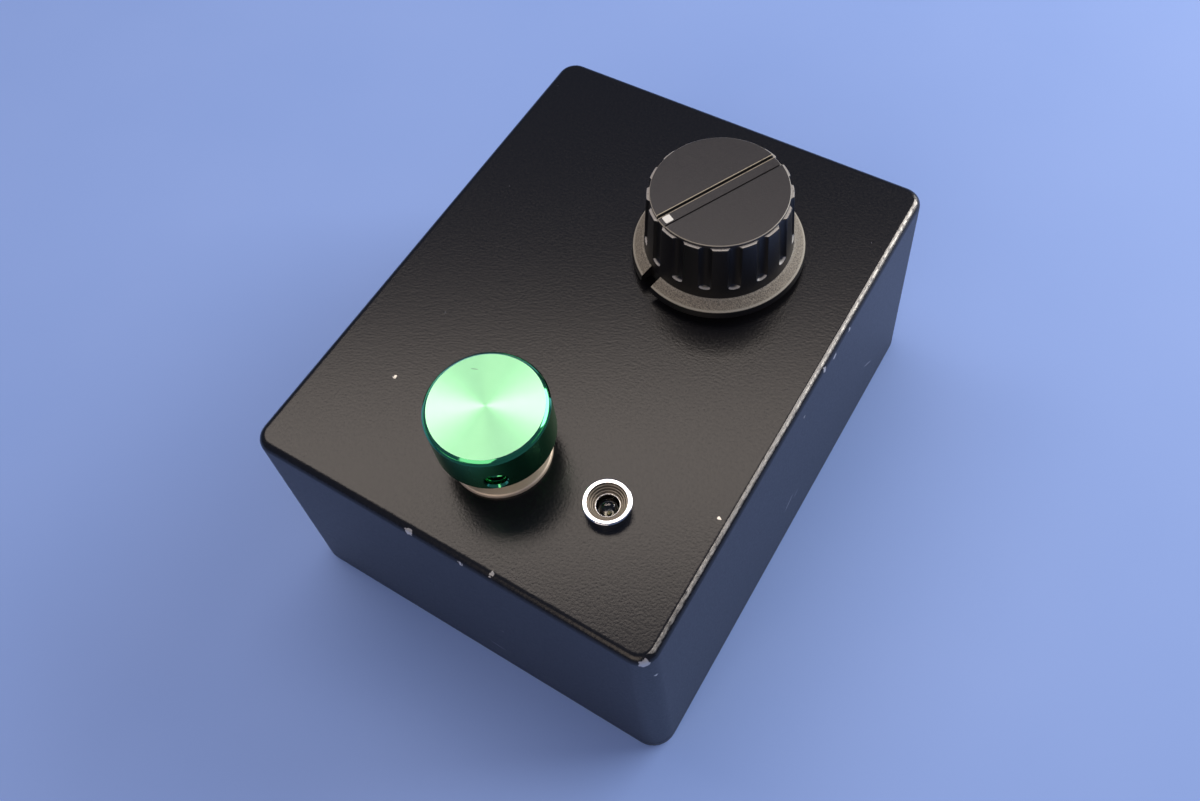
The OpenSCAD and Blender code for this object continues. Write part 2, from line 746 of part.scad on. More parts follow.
module knob_body() {
    color("#2c2a2a")
    at_knob(knob_z)
        difference() {
            union() {
                rotate_extrude()
                    polygon(concat(
                        [[hollow_r, 0], [skirt_d / 2, 0]],
                        round_over(
                            skirt_d / 2 - skirt_lean - skirt_edge_r,
                            skirt_rim_h - skirt_edge_r,
                            skirt_edge_r, 0, skirt_edge_arc),
                        [
                            [grip_base_d / 2, skirt_h],
                            [grip_top_d / 2, grip_h],
                            [spigot_d / 2 + fit_gap, grip_h],
                            [spigot_d / 2 + fit_gap, grip_h - cap_recess_h],
                            [nut_pocket_d / 2, grip_h - cap_recess_h],
                            [nut_pocket_d / 2, nut_seat_h],
                            [collet_bore_d / 2, nut_seat_h],
                            [collet_bore_d / 2, hub_z + collet_head_h + collet_taper_h],
                            [collet_seat_d / 2, hub_z + collet_head_h],
                            [collet_seat_d / 2, hub_z],
                            [hub_d / 2, hub_z],
                            [hub_d / 2, hollow_h],
                            [hollow_r, hollow_h]
                        ]));
                for (i = [0 : knob_ribs - 1])
                    rotate([0, 0, 360 * (i + 0.5) / knob_ribs])
                        translate([hub_d / 2 - sink, -knob_rib_t / 2, hub_z + knob_rib_up])
                            cube([
                                hollow_r - hub_d / 2 + 2 * sink,
                                knob_rib_t,
                                hollow_h - hub_z - knob_rib_up + sink
                            ]);
            }
            for (i = [0 : flutes - 1])
                rotate([0, 0, 360 * i / flutes])
                    translate([flute_floor_r + flute_d / 2, 0, flute_end_h])
                        cylinder(d = flute_d, h = grip_h, $fn = small_fn);
            translate([grip_base_d / 2, -notch_w / 2, -cut]) cube([skirt_d / 2, notch_w, skirt_h + cut]);
        }
}

cap_z = knob_z + grip_h - spigot_h;

module knob_cap() {
    color("#333130")
    at_knob(cap_z)
        difference() {
            rotate_extrude()
                polygon([
                    [0, 0],
                    [spigot_d / 2, 0],
                    [spigot_d / 2, spigot_h],
                    [cap_d / 2, spigot_h],
                    [cap_d / 2, spigot_h + cap_t - cap_bevel],
                    [cap_d / 2 - cap_bevel, spigot_h + cap_t],
                    [0, spigot_h + cap_t]
                ]);
            translate([-cap_d, -strip_w / 2, spigot_h + cap_t - strip_depth]) cube([2 * cap_d, strip_w, cut]);
            translate([marker_r - marker_w / 2, -marker_w / 2, spigot_h + cap_t - strip_depth - marker_t])
                cube([marker_w, marker_w, marker_t + cut]);
        }
}

module knob_marker() {
    color("#f2f2ec")
    at_knob(cap_z + spigot_h + cap_t - strip_depth - marker_t)
        translate([marker_r - marker_w / 2 + run_gap, -marker_w / 2 + run_gap, 0])
            cube([marker_w - 2 * run_gap, marker_w - 2 * run_gap, marker_t + run_gap]);
}

collet_stem_top = nut_seat_h + collet_nut_t - hub_z;

module knob_collet() {
    color("#c9a24a")
    at_knob(knob_z + hub_z)
        difference() {
            rotate_extrude()
                polygon([
                    [shaft_d / 2 + run_gap / 2, 0],
                    [collet_head_d / 2, 0],
                    [collet_head_d / 2, collet_head_h],
                    [collet_d / 2, collet_head_h + collet_taper_h],
                    [collet_d / 2, collet_stem_top],
                    [shaft_d / 2 + run_gap / 2, collet_stem_top]
                ]);
            for (a = [0, 60, 120]) rotate([0, 0, a])
                translate([-collet_head_d, -collet_slit / 2, -cut])
                    cube([2 * collet_head_d, collet_slit, collet_slit_h + cut]);
        }
}

module collet_nut() {
    color("#c9a24a")
    at_knob(knob_z + nut_seat_h) nut(collet_nut_af, collet_d + fit_gap, collet_nut_t);
}

// Potentiometer: shaft and rotor turn, the rest is clamped under the panel.
plate_z = under_z - pot_plate_t;
wafer_z = plate_z - wafer_t;
can_z = wafer_z - can_h;
rotor_z = wafer_z - rotor_t - rotor_gap;
shaft_top = knob_z + nut_seat_h - shaft_short;

module pot_shaft() {
    color("#b9bbbd")
    at_pot(rotor_z - shaft_tail) cylinder(d = shaft_d, h = shaft_top - rotor_z + shaft_tail);
}

module pot_rotor() {
    color("#e6e2d6")
    at_knob(rotor_z)
        difference() {
            ring(rotor_d, shaft_d + run_gap, rotor_t);
            translate([rotor_d / 2 - wiper_l, -wiper_w / 2, rotor_t - wiper_t])
                cube([wiper_l + cut, wiper_w, wiper_t + cut]);
        }
}

module pot_bush() {
    color("#c3c4c6")
    at_pot(plate_z)
        difference() {
            union() {
                cylinder(r = pot_r, h = pot_plate_t);
                cylinder(d = pot_thread_d, h = pot_plate_t + wall + pot_bush_h);
            }
            translate([0, 0, -cut])
                cylinder(d = shaft_d + 2 * run_gap, h = pot_plate_t + wall + pot_bush_h + 2 * cut);
        }
}

module pot_wafer() {
    color("#6b4326")
    at_pot(wafer_z)
        difference() {
            union() {
                cylinder(r = pot_r, h = wafer_t);
                translate([-wafer_tab_w / 2, -wafer_tab_l, 0])
                    cube([wafer_tab_w, wafer_tab_l - pot_r / 2, wafer_t]);
            }
            translate([0, 0, -cut]) cylinder(d = shaft_d + 2 * wafer_clear, h = wafer_t + 2 * cut);
        }
}

module pot_can() {
    color("#bdbfc1")
    at_pot(can_z) {
        difference() {
            cylinder(r = pot_r + fit_gap + can_t, h = can_h);
            translate([0, 0, can_t]) cylinder(r = pot_r + fit_gap, h = can_h);
        }
        for (a = [0, 60, 120, 180])
            intersection() {
                difference() {
                    cylinder(r = pot_r + fit_gap + can_t, h = can_h + wafer_t + pot_plate_t - fit_gap);
                    translate([0, 0, can_t]) cylinder(r = pot_r + fit_gap, h = can_h + wafer_t + pot_plate_t);
                }
                rotate([0, 0, a]) translate([0, -can_tab_w / 2, can_t])
                    cube([2 * pot_r, can_tab_w, can_h + wafer_t + pot_plate_t]);
            }
    }
}

// Each terminal lies under the tab and ends in a solder eye.
module pot_terminals() {
    color("#d6d6d2")
    for (i = [-1, 0, 1])
        at_pot(wafer_z - terminal_t) translate([i * terminal_pitch, -wafer_tab_l, 0])
            difference() {
                translate([-terminal_w / 2, -terminal_l, 0])
                    cube([terminal_w, terminal_l + terminal_in, terminal_t]);
                translate([0, -terminal_l + terminal_w / 2, -cut])
                    cylinder(d = terminal_eye_d, h = terminal_t + 2 * cut, $fn = small_fn);
            }
}

module pot_washer() {
    color("#cfcfd1")
    at_pot(panel_z) ring(pot_washer_d, pot_thread_d + 2 * fit_gap, pot_washer_t);
}

module pot_nut() {
    color("#cfcfd1")
    at_pot(panel_z + pot_washer_t) nut(pot_nut_af, pot_thread_d + 2 * fit_gap, pot_nut_t);
}

// Footswitch: threaded bush and frame plate over a moulded case, with a sprung plunger.
bush_top = panel_z + switch_bush_h;
frame_z = bush_top - switch_bush_l - frame_t;
case_z = frame_z - case_h;
well_z = frame_z - well_d;
guide_d = collar_d + 2 * guide_gap;
shoulder_z = bush_top - switch_bush_l + shoulder_h;
collar_z = shoulder_z - run_gap - collar_t;
topper_z = bush_top + press_travel + press_gap;

module switch_bush() {
    color("#c9c9cb")
    at_switch(0)
        difference() {
            union() {
                translate([-case_w / 2, -case_w / 2, frame_z]) cube([case_w, case_w, frame_t]);
                translate([0, 0, frame_z]) cylinder(d = switch_thread_d, h = bush_top - frame_z);
            }
            translate([0, 0, frame_z - cut])
                cylinder(d = plunger_d + 2 * run_gap, h = bush_top - frame_z + 2 * cut);
            translate([0, 0, frame_z - cut]) cylinder(d = guide_d, h = shoulder_z - frame_z + cut);
        }
}

module switch_case() {
    color("#2f5fa8")
    at_switch(case_z)
        difference() {
            linear_extrude(case_h) difference() {
                square(case_w, center = true);
                for (a = [0 : 90 : 270]) rotate(a) translate([case_w / 2, case_w / 2]) rotate(45)
                    square(case_chamfer * sqrt(2), center = true);
            }
            translate([0, 0, well_z - case_z]) cylinder(d = guide_d, h = well_d + cut);
        }
}

module switch_lugs() {
    color("#d8c27a")
    at_switch(case_z - lug_l)
        for (i = [0 : lug_rows - 1], k = [0 : lug_rows - 1])
            translate([(i - (lug_rows - 1) / 2) * lug_pitch, (k - (lug_rows - 1) / 2) * lug_pitch, 0])
                translate([-lug_w / 2, -lug_t / 2, 0]) cube([lug_w, lug_t, lug_l]);
}

module switch_lock_nut() {
    color("#cfcfd1")
    at_switch(under_z - lock_nut_t) nut(switch_nut_af, switch_thread_d + 2 * fit_gap, lock_nut_t);
}

module switch_washer() {
    color("#cfc8bd")
    at_switch(panel_z)
        difference() {
            rotate_extrude()
                polygon(concat(
                    [[0, 0], [switch_washer_d / 2, 0]],
                    round_over(
                        switch_washer_d / 2 - switch_washer_r,
                        switch_washer_t - switch_washer_r,
                        switch_washer_r, 0, 90),
                    [[0, switch_washer_t]]));
            translate([0, 0, -cut])
                cylinder(d = switch_thread_d + 2 * fit_gap, h = switch_washer_t + 2 * cut);
        }
}

module switch_nut() {
    color("#cfcfd1")
    at_switch(panel_z + switch_washer_t) nut(switch_nut_af, switch_thread_d + 2 * fit_gap, switch_nut_t);
}

plunger_tip_d = spring_d - spring_wire_d - 2 * spring_play;
plunger_top = topper_z + plunger_grip;

module switch_plunger() {
    color("#d2d2d4")
    at_switch(0)
        rotate_extrude()
            polygon([
                [0, collar_z - plunger_tip_l],
                [plunger_tip_d / 2, collar_z - plunger_tip_l],
                [plunger_tip_d / 2, collar_z],
                [collar_d / 2, collar_z],
                [collar_d / 2, collar_z + collar_t],
                [plunger_d / 2, collar_z + collar_t],
                [plunger_d / 2, plunger_top - plunger_bevel],
                [plunger_d / 2 - plunger_bevel, plunger_top],
                [0, plunger_top]
            ]);
}

// Return spring: one unbroken wire between the well's floor and the plunger's collar.
spring_rings = 10;
spring_sides = 6;
spring_z0 = well_z + spring_wire_d / 2 + run_gap;
spring_z1 = collar_z - spring_wire_d / 2 - run_gap;
spring_path = [for (i = [0 : spring_turns * spring_rings])
    let (a = 360 * i / spring_rings, h = i / (spring_turns * spring_rings))
    [spring_d / 2 * cos(a), spring_d / 2 * sin(a), spring_z0 + (spring_z1 - spring_z0) * h]];
spring_gap = min([for (i = [0 : (spring_turns - 1) * spring_rings])
    norm(spring_path[i + spring_rings] - spring_path[i])]) - spring_wire_d;
echo(least_spring_gap = spring_gap);

module switch_spring() {
    color("#a9abad")
    at_switch(0) tube(spring_path, spring_wire_d, spring_sides);
}

// The countersink starts as deep as the round side falls away at the hole's edge, and grub_sink more.
grub_cone_h = grub_sink + topper_d / 2 - sqrt(pow(topper_d / 2, 2) - pow(grub_d / 2, 2));

module switch_topper() {
    color("#2f9a55")
    at_switch(topper_z)
        difference() {
            rotate_extrude($fn = fine_fn)
                polygon([
                    [0, 0],
                    [topper_d / 2 - topper_foot_bevel, 0],
                    [topper_d / 2, topper_foot_bevel],
                    [topper_d / 2, topper_h - topper_bevel_h],
                    [topper_d / 2 - topper_bevel_w, topper_h],
                    [0, topper_h]
                ]);
            translate([0, 0, -cut]) cylinder(d = plunger_d + fit_gap, h = plunger_grip + cut);
            rotate([0, 0, grub_angle]) translate([0, 0, grub_h]) rotate([0, 90, 0]) {
                cylinder(d = grub_d + fit_gap, h = topper_d);
                translate([0, 0, topper_d / 2 - grub_cone_h])
                    cylinder(d1 = grub_d, d2 = grub_d + 2 * (grub_cone_h + cut), h = grub_cone_h + cut);
            }
        }
}

module topper_grub_screw() {
    color("#3a3a3c")
    at_switch(topper_z + grub_h)
        rotate([0, 0, grub_angle]) translate([plunger_d / 2 + run_gap, 0, 0]) rotate([0, 90, 0])
            difference() {
                cylinder(d = grub_d, h = grub_l);
                translate([0, 0, grub_l - grub_socket_d]) hex(grub_socket_af, grub_socket_d + cut);
            }
}

// Indicator lamp: bezel, clear lens with its lead frame, rear clip and nut.
rim_z = panel_z + bezel_h;
lamp_flange_z = rim_z - lamp_tip_depth - lamp_h - lamp_flange_t;
lamp_dome_z = lamp_flange_z + lamp_flange_t + lamp_h - lamp_d / 2;
throat_d = lamp_d + 2 * fit_gap;
lamp_seat_z = lamp_flange_z + lamp_flange_t + run_gap;
thread_end_z = panel_z - bezel_thread_l;
rear_bore_d = lamp_flange_d + 2 * fit_gap;

module led_bezel() {
    color("#dcdcde")
    at_lamp(0)
        rotate_extrude()
            polygon(concat(
                [
                    [throat_d / 2, lamp_seat_z],
                    [rear_bore_d / 2, lamp_seat_z],
                    [rear_bore_d / 2, thread_end_z],
                    [bezel_thread_d / 2, thread_end_z],
                    [bezel_thread_d / 2, panel_z],
                    [bezel_d / 2, panel_z]
                ],
                round_over(bezel_d / 2 - bezel_edge_r, rim_z - bezel_edge_r, bezel_edge_r, 0, 90),
                [
                    [bezel_mouth_d / 2, rim_z],
                    [throat_d / 2, rim_z - reflector_depth]
                ]));
}

module led_nut() {
    color("#cfcfd1")
    at_lamp(under_z - bezel_nut_t) nut(bezel_nut_af, bezel_thread_d + 2 * fit_gap, bezel_nut_t);
}

// The lead frame: two legs inside the lens, one with the plate that carries the chip.
module lead_pair(grow) {
    for (s = [-1, 1])
        translate([s * lead_pitch / 2 - lead_w / 2 - grow, -lead_w / 2 - grow, lamp_flange_z - lead_l])
            cube([lead_w + 2 * grow, lead_w + 2 * grow, lead_l + frame_foot_h]);
    translate([-lead_pitch / 2 - lead_w / 2 - grow, -lead_frame_t / 2 - grow, lamp_flange_z + frame_foot_h])
        cube([anvil_w + 2 * grow, lead_frame_t + 2 * grow, anvil_h + grow]);
    translate([lead_pitch / 2 - post_w / 2 - grow, -lead_frame_t / 2 - grow, lamp_flange_z + frame_foot_h])
        cube([post_w + 2 * grow, lead_frame_t + 2 * grow, post_h + grow]);
}

module led_leads() {
    color("#b4b4b0")
    at_lamp(0) lead_pair(0);
}

module led_lens() {
    color("#dfe6e4", 0.5)
    at_lamp(0)
        difference() {
            union() {
                translate([0, 0, lamp_flange_z]) cylinder(d = lamp_flange_d, h = lamp_flange_t);
                translate([0, 0, lamp_flange_z]) cylinder(d = lamp_d, h = lamp_dome_z - lamp_flange_z);
                translate([0, 0, lamp_dome_z]) intersection() {
                    sphere(d = lamp_d);
                    translate([-lamp_d, -lamp_d, 0]) cube(2 * lamp_d);
                }
            }
            lead_pair(run_gap / 2);
        }
}

module led_clip() {
    color("#1c1c1e")
    at_lamp(lamp_flange_z - clip_t)
        difference() {
            cylinder(d = rear_bore_d - fit_gap, h = clip_t);
            for (s = [-1, 1])
                translate([s * lead_pitch / 2 - lead_w / 2 - fit_gap, -lead_w / 2 - fit_gap, -cut])
                    cube([lead_w + 2 * fit_gap, lead_w + 2 * fit_gap, clip_t + 2 * cut]);
        }
}

// Plug jack: threaded bush, nut and washer outside the wall, moulded housing and contacts inside.
jack_back = -wall_n - jack_case_l;
contact_x = jack_case_w / 2 - jack_case_t - contact_t - contact_in;

module jack_bush() {
    translate([0, 0, -wall_n - jack_bush_in])
        difference() {
            cylinder(d = jack_thread_d, h = wall_n + jack_bush_in + jack_bush_out);
            translate([0, 0, -cut])
                cylinder(d = jack_bore_d, h = wall_n + jack_bush_in + jack_bush_out + 2 * cut);
        }
}

module jack_washer() { ring(jack_washer_d, jack_thread_d + 2 * fit_gap, jack_washer_t); }

module jack_nut() {
    translate([0, 0, jack_washer_t]) nut(jack_nut_af, jack_thread_d + 2 * fit_gap, jack_nut_t);
}

module contact_slot(x) {
    translate([x - fit_gap, -contact_w / 2 - fit_gap, jack_back - cut])
        cube([contact_t + 2 * fit_gap, contact_w + 2 * fit_gap, jack_case_t + 2 * cut]);
}

module jack_housing() {
    difference() {
        translate([-jack_case_w / 2, -jack_case_w / 2, jack_back])
            cube([jack_case_w, jack_case_w, jack_case_l]);
        translate([-jack_case_w / 2 + jack_case_t, -jack_case_w / 2 + jack_case_t, jack_back + jack_case_t])
            cube([
                jack_case_w - 2 * jack_case_t,
                jack_case_w - 2 * jack_case_t,
                jack_case_l - jack_case_t - jack_bush_in
            ]);
        translate([0, 0, -wall_n - jack_bush_in - cut])
            cylinder(d = jack_thread_d + fit_gap, h = jack_bush_in + 2 * cut);
        contact_slot(contact_x);
        contact_slot(-contact_x - contact_t);
    }
}

// The tip spring folds back towards the plug; the sleeve strip reaches the end of the bush.
module jack_contacts() {
    front = -wall_n - jack_bush_in;
    tail = jack_back - contact_tail;
    rotate([90, 0, 0]) {
        linear_extrude(contact_w, center = true)
            polygon(strip_outline([
                [contact_x + contact_t, tail],
                [contact_x + contact_t, front - tip_fold_l - tip_fold_h],
                [contact_x - tip_fold_w, front - tip_fold_l],
                [tip_bow_x, front - tip_bow_l],
                [tip_bow_x + tip_flare_w, front - tip_bow_l - tip_flare_l]
            ], contact_t));
        linear_extrude(contact_w, center = true)
            polygon(strip_outline([
                [-contact_x - contact_t, tail],
                [-contact_x - contact_t, front - sleeve_bend_l],
                [-jack_bore_d / 2 - sleeve_gap, front - contact_t - run_gap]
            ], -contact_t));
    }
}

module input_jack_bush() { color("#c6c6c8") on_rear_wall(jack_x) jack_bush(); }
module input_jack_washer() { color("#cfcfd1") on_rear_wall(jack_x) jack_washer(); }
module input_jack_nut() { color("#cfcfd1") on_rear_wall(jack_x) jack_nut(); }
module input_jack_housing() { color("#1d1d1f") on_rear_wall(jack_x) jack_housing(); }
module input_jack_contacts() { color("#d8c27a") on_rear_wall(jack_x) jack_contacts(); }
module output_jack_bush() { color("#c6c6c8") on_rear_wall(-jack_x) jack_bush(); }
module output_jack_washer() { color("#cfcfd1") on_rear_wall(-jack_x) jack_washer(); }
module output_jack_nut() { color("#cfcfd1") on_rear_wall(-jack_x) jack_nut(); }
module output_jack_housing() { color("#1d1d1f") on_rear_wall(-jack_x) jack_housing(); }
module output_jack_contacts() { color("#d8c27a") on_rear_wall(-jack_x) jack_contacts(); }

// Power jack: moulded barrel with a flange outside, centre pin, side contact and inner nut.
power_back = -wall_n - power_barrel_l;
power_strip_x = power_socket_d / 2 + power_groove - fit_gap;

module power_jack_body() {
    color("#19191b")
    on_rear_wall(0)
        difference() {
            union() {
                cylinder(d = power_flange_d, h = power_flange_t);
                translate([0, 0, power_back]) cylinder(d = power_thread_d, h = -power_back + sink);
            }
            translate([0, 0, power_flange_t - power_socket_depth])
                cylinder(d = power_socket_d, h = power_socket_depth + cut);
            translate([0, 0, power_back - cut])
                cylinder(d = power_pin_d + fit_gap, h = power_barrel_l + wall_n);
            translate([0, -power_strip_w / 2 - fit_gap, power_back - cut])
                cube([power_socket_d / 2 + power_groove, power_strip_w + 2 * fit_gap, power_barrel_l + cut]);
        }
}

module power_jack_pin() {
    color("#cfcfd1")
    on_rear_wall(0)
        translate([0, 0, power_back - power_tail])
            cylinder(d = power_pin_d, h = -power_back + power_tail + power_flange_t - power_pin_depth);
}

module power_jack_contact() {
    color("#d8c27a")
    on_rear_wall(0) rotate([90, 0, 0])
        linear_extrude(power_strip_w, center = true)
            polygon(strip_outline([
                [power_strip_x, power_back - power_tail],
                [power_strip_x, -wall_n - power_bend],
                [power_strip_x - power_bow, -wall_n - power_spring_end]
            ], contact_t));
}

module power_jack_nut() {
    color("#19191b")
    on_rear_wall(0) translate([0, 0, -wall_n - power_nut_t])
        nut(power_nut_af, power_thread_d + 2 * fit_gap, power_nut_t);
}

// Circuit board: hung under the panel on four adhesive pillars, with its parts underneath.
board_top = under_z - board_gap;
board_z = board_top - board_t;
board_x = box_w / 2 - board_side - board_w / 2;

module at_board() { translate([-board_x, board_y, board_z]) children(); }
module at_pillars() {
    for (sx = [-1, 1], sy = [-1, 1])
        translate([sx * (board_w / 2 - pillar_in), sy * (board_l / 2 - pillar_in), 0]) children();
}

module circuit_board() {
    color("#1f6b3a")
    at_board()
        difference() {
            translate([-board_w / 2, -board_l / 2, 0]) cube([board_w, board_l, board_t]);
            at_pillars() translate([0, 0, -cut])
                cylinder(d = pillar_pin_d + fit_gap, h = board_t + 2 * cut, $fn = small_fn);
        }
}

module board_pillars() {
    color("#e9e7df")
    at_board() at_pillars() {
        translate([0, 0, -pillar_pin_l])
            cylinder(d = pillar_pin_d, h = board_t + pillar_pin_l + sink, $fn = small_fn);
        translate([0, 0, board_t]) cylinder(d = pillar_d, h = board_gap, $fn = small_fn);
        translate([0, 0, board_t + board_gap - pillar_foot_t])
            cylinder(d = pillar_foot_d, h = pillar_foot_t, $fn = small_fn);
    }
}

// Dual amplifier chip in its package, with four legs a side.
module amplifier_chip() {
    color("#1a1a1c")
    at_board() {
        translate([-chip_w / 2, -chip_l / 2, -chip_gap - chip_t]) cube([chip_w, chip_l, chip_t]);
        for (a = [0, 180], i = [-1.5 : 1 : 1.5])
            rotate([0, 0, a])
                translate([chip_w / 2 - sink, i * leg_pitch - leg_w / 2, -chip_gap - chip_t / 2])
                    cube([leg_l + sink, leg_w, chip_gap + chip_t / 2]);
    }
}

// Electrolytic capacitors stand off the board's parts side, each can grooved near its base.
can_cap_spots = [[-10, 12], [-10, 4], [10, 12]];

module electrolytic_capacitors() {
    color("#22303f")
    at_board()
        for (p = can_cap_spots) translate([p[0], p[1], -can_cap_h])
            rotate_extrude($fn = small_fn)
                polygon([
                    [0, 0],
                    [can_cap_d / 2 - can_cap_groove, 0],
                    [can_cap_d / 2, can_cap_groove],
                    [can_cap_d / 2, can_cap_h - can_cap_groove_h - can_cap_groove],
                    [can_cap_d / 2 - can_cap_groove, can_cap_h - can_cap_groove_h],
                    [can_cap_d / 2, can_cap_h - can_cap_groove_h + can_cap_groove],
                    [can_cap_d / 2, can_cap_h],
                    [0, can_cap_h]
                ]);
}

// Film capacitors in boxes.
film_cap_spots = [[-10, -3.5], [-10, -7.3], [10, 4], [10, 0]];
film_cap = [film_cap_l, film_cap_w, film_cap_h];

module film_capacitors() {
    color("#a8332b")
    at_board()
        for (p = film_cap_spots)
            translate([p[0] - film_cap_l / 2, p[1] - film_cap_w / 2, -film_cap_h]) cube(film_cap);
}

// Resistors lie along the board between two bent leads.
resistor_y = -14.5;

module resistor() {
    drop = resistor_d / 2 + resistor_gap;
    body_r = resistor_d / 2 - resistor_step;
    reach = resistor_span + resistor_lead_d;
    translate([0, 0, -drop]) rotate([90, 0, 0]) {
        translate([0, 0, -resistor_l / 2])
            rotate_extrude($fn = small_fn)
                polygon([
                    [0, 0],
                    [resistor_d / 2, 0],
                    [resistor_d / 2, resistor_end_l],
                    [body_r, resistor_end_l + resistor_step],
                    [body_r, resistor_l - resistor_end_l - resistor_step],
                    [resistor_d / 2, resistor_l - resistor_end_l],
                    [resistor_d / 2, resistor_l],
                    [0, resistor_l]
                ]);
        translate([0, 0, -reach / 2]) cylinder(d = resistor_lead_d, h = reach, $fn = lead_fn);
    }
    for (s = [-1, 1])
        translate([0, s * resistor_span / 2, -drop]) cylinder(d = resistor_lead_d, h = drop, $fn = lead_fn);
}

module resistors() {
    color("#cdb58c")
    at_board()
        for (i = [0 : resistor_rows - 1])
            translate([(i - (resistor_rows - 1) / 2) * resistor_pitch, resistor_y, 0]) resistor();
}

// Hook-up wires: each leaves its solder point straight and bends over to the next on one curve.
wire_rings = 12;
wire_sides = 8;

function curve(a, da, b, db) =
    [for (i = [0 : wire_rings]) let (t = i / wire_rings, s = 1 - t)
        s * s * s * a + 3 * s * s * t * (a + da) + 3 * s * t * t * (b + db) + t * t * t * b];

module wire(a, da, b, db) { tube(curve(a, da, b, db), wire_d, wire_sides); }

function pad(x, y) = [-board_x + x, board_y + y, board_z - wire_gap];
function jack_tail(side, x) =
    rear_point(side * jack_x, jack_z, [x, 0, jack_back - contact_tail - wire_gap]);
function power_tail_end(x) = rear_point(0, jack_z, [x, 0, power_back - power_tail - wire_gap]);
function switch_lug_end(i, k) = [i * lug_pitch, switch_y + k * lug_pitch, case_z - lug_l - wire_gap];
function pot_eye(i) = [
    knob_x + i * terminal_pitch,
    knob_y - wafer_tab_l - terminal_l - wire_gap,
    wafer_z - terminal_t / 2
];
function lamp_lead_end(s) = [lamp_x + s * lead_pitch / 2, switch_y, lamp_flange_z - lead_l - wire_gap];
tip_x = contact_x + contact_t / 2;
down = [0, 0, -wire_drop];
inward = [0, -wire_reach, 0];
edge_x = board_w / 2 - pad_in;

module signal_wires() {
    color("#d9d4c4") {
        wire(pad(edge_x, 8), down, jack_tail(1, tip_x), inward);
        wire(jack_tail(-1, tip_x), inward * 1.6, switch_lug_end(-1, 1), down);
        wire(pad(edge_x, -15), down, switch_lug_end(0, 1), down);
        wire(pad(edge_x, -11), down * 0.6, pot_eye(-1), [0, -9, 0]);
        wire(pad(edge_x, -7), down * 0.9, pot_eye(0), [0, -13, 0]);
    }
}

module ground_wires() {
    color("#1c1c1e") {
        wire(pad(-edge_x, 8), down * 1.4, jack_tail(-1, -tip_x), inward * 0.6);
        wire(pot_eye(1), [0, -12, -4], lamp_lead_end(-1), down);
        wire(power_tail_end(power_strip_x - contact_t / 2), inward * 0.7,
            jack_tail(1, -tip_x), inward * 0.7);
    }
}

module supply_wires() {
    color("#b3281e") {
        wire(pad(edge_x, 13), down, power_tail_end(0), inward * 0.7);
        wire(switch_lug_end(1, -1), down, lamp_lead_end(1), down * 1.4);
    }
}

enclosure_body();
bottom_lid();
lid_screws();
knob_body();
knob_cap();
knob_marker();
knob_collet();
collet_nut();
pot_shaft();
pot_rotor();
pot_bush();
pot_wafer();
pot_can();
pot_terminals();
pot_washer();
pot_nut();
switch_bush();
switch_case();
switch_lugs();
switch_lock_nut();
switch_washer();
switch_nut();
switch_plunger();
switch_spring();
switch_topper();
topper_grub_screw();
led_bezel();
led_nut();
led_leads();
led_lens();
led_clip();
input_jack_bush();
input_jack_washer();
input_jack_nut();
input_jack_housing();
input_jack_contacts();
output_jack_bush();
output_jack_washer();
output_jack_nut();
output_jack_housing();
output_jack_contacts();
power_jack_body();
power_jack_pin();
power_jack_contact();
power_jack_nut();
circuit_board();
board_pillars();
amplifier_chip();
electrolytic_capacitors();
film_capacitors();
resistors();
signal_wires();
ground_wires();
supply_wires();
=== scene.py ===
# %% [markdown]
# # A bass preamp pedal, dressed
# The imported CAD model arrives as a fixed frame: every node has its size, place and moving body.
# This lesson gives each visible piece its finish. Pieces whose CAD mesh is only loose triangles are
# drawn again with rounded edges, flutes and threads, and they ride on the same bodies.

# %% Load the frame
import json
import math

import bmesh
import bpy
import numpy as np
from mathutils import Matrix, Vector

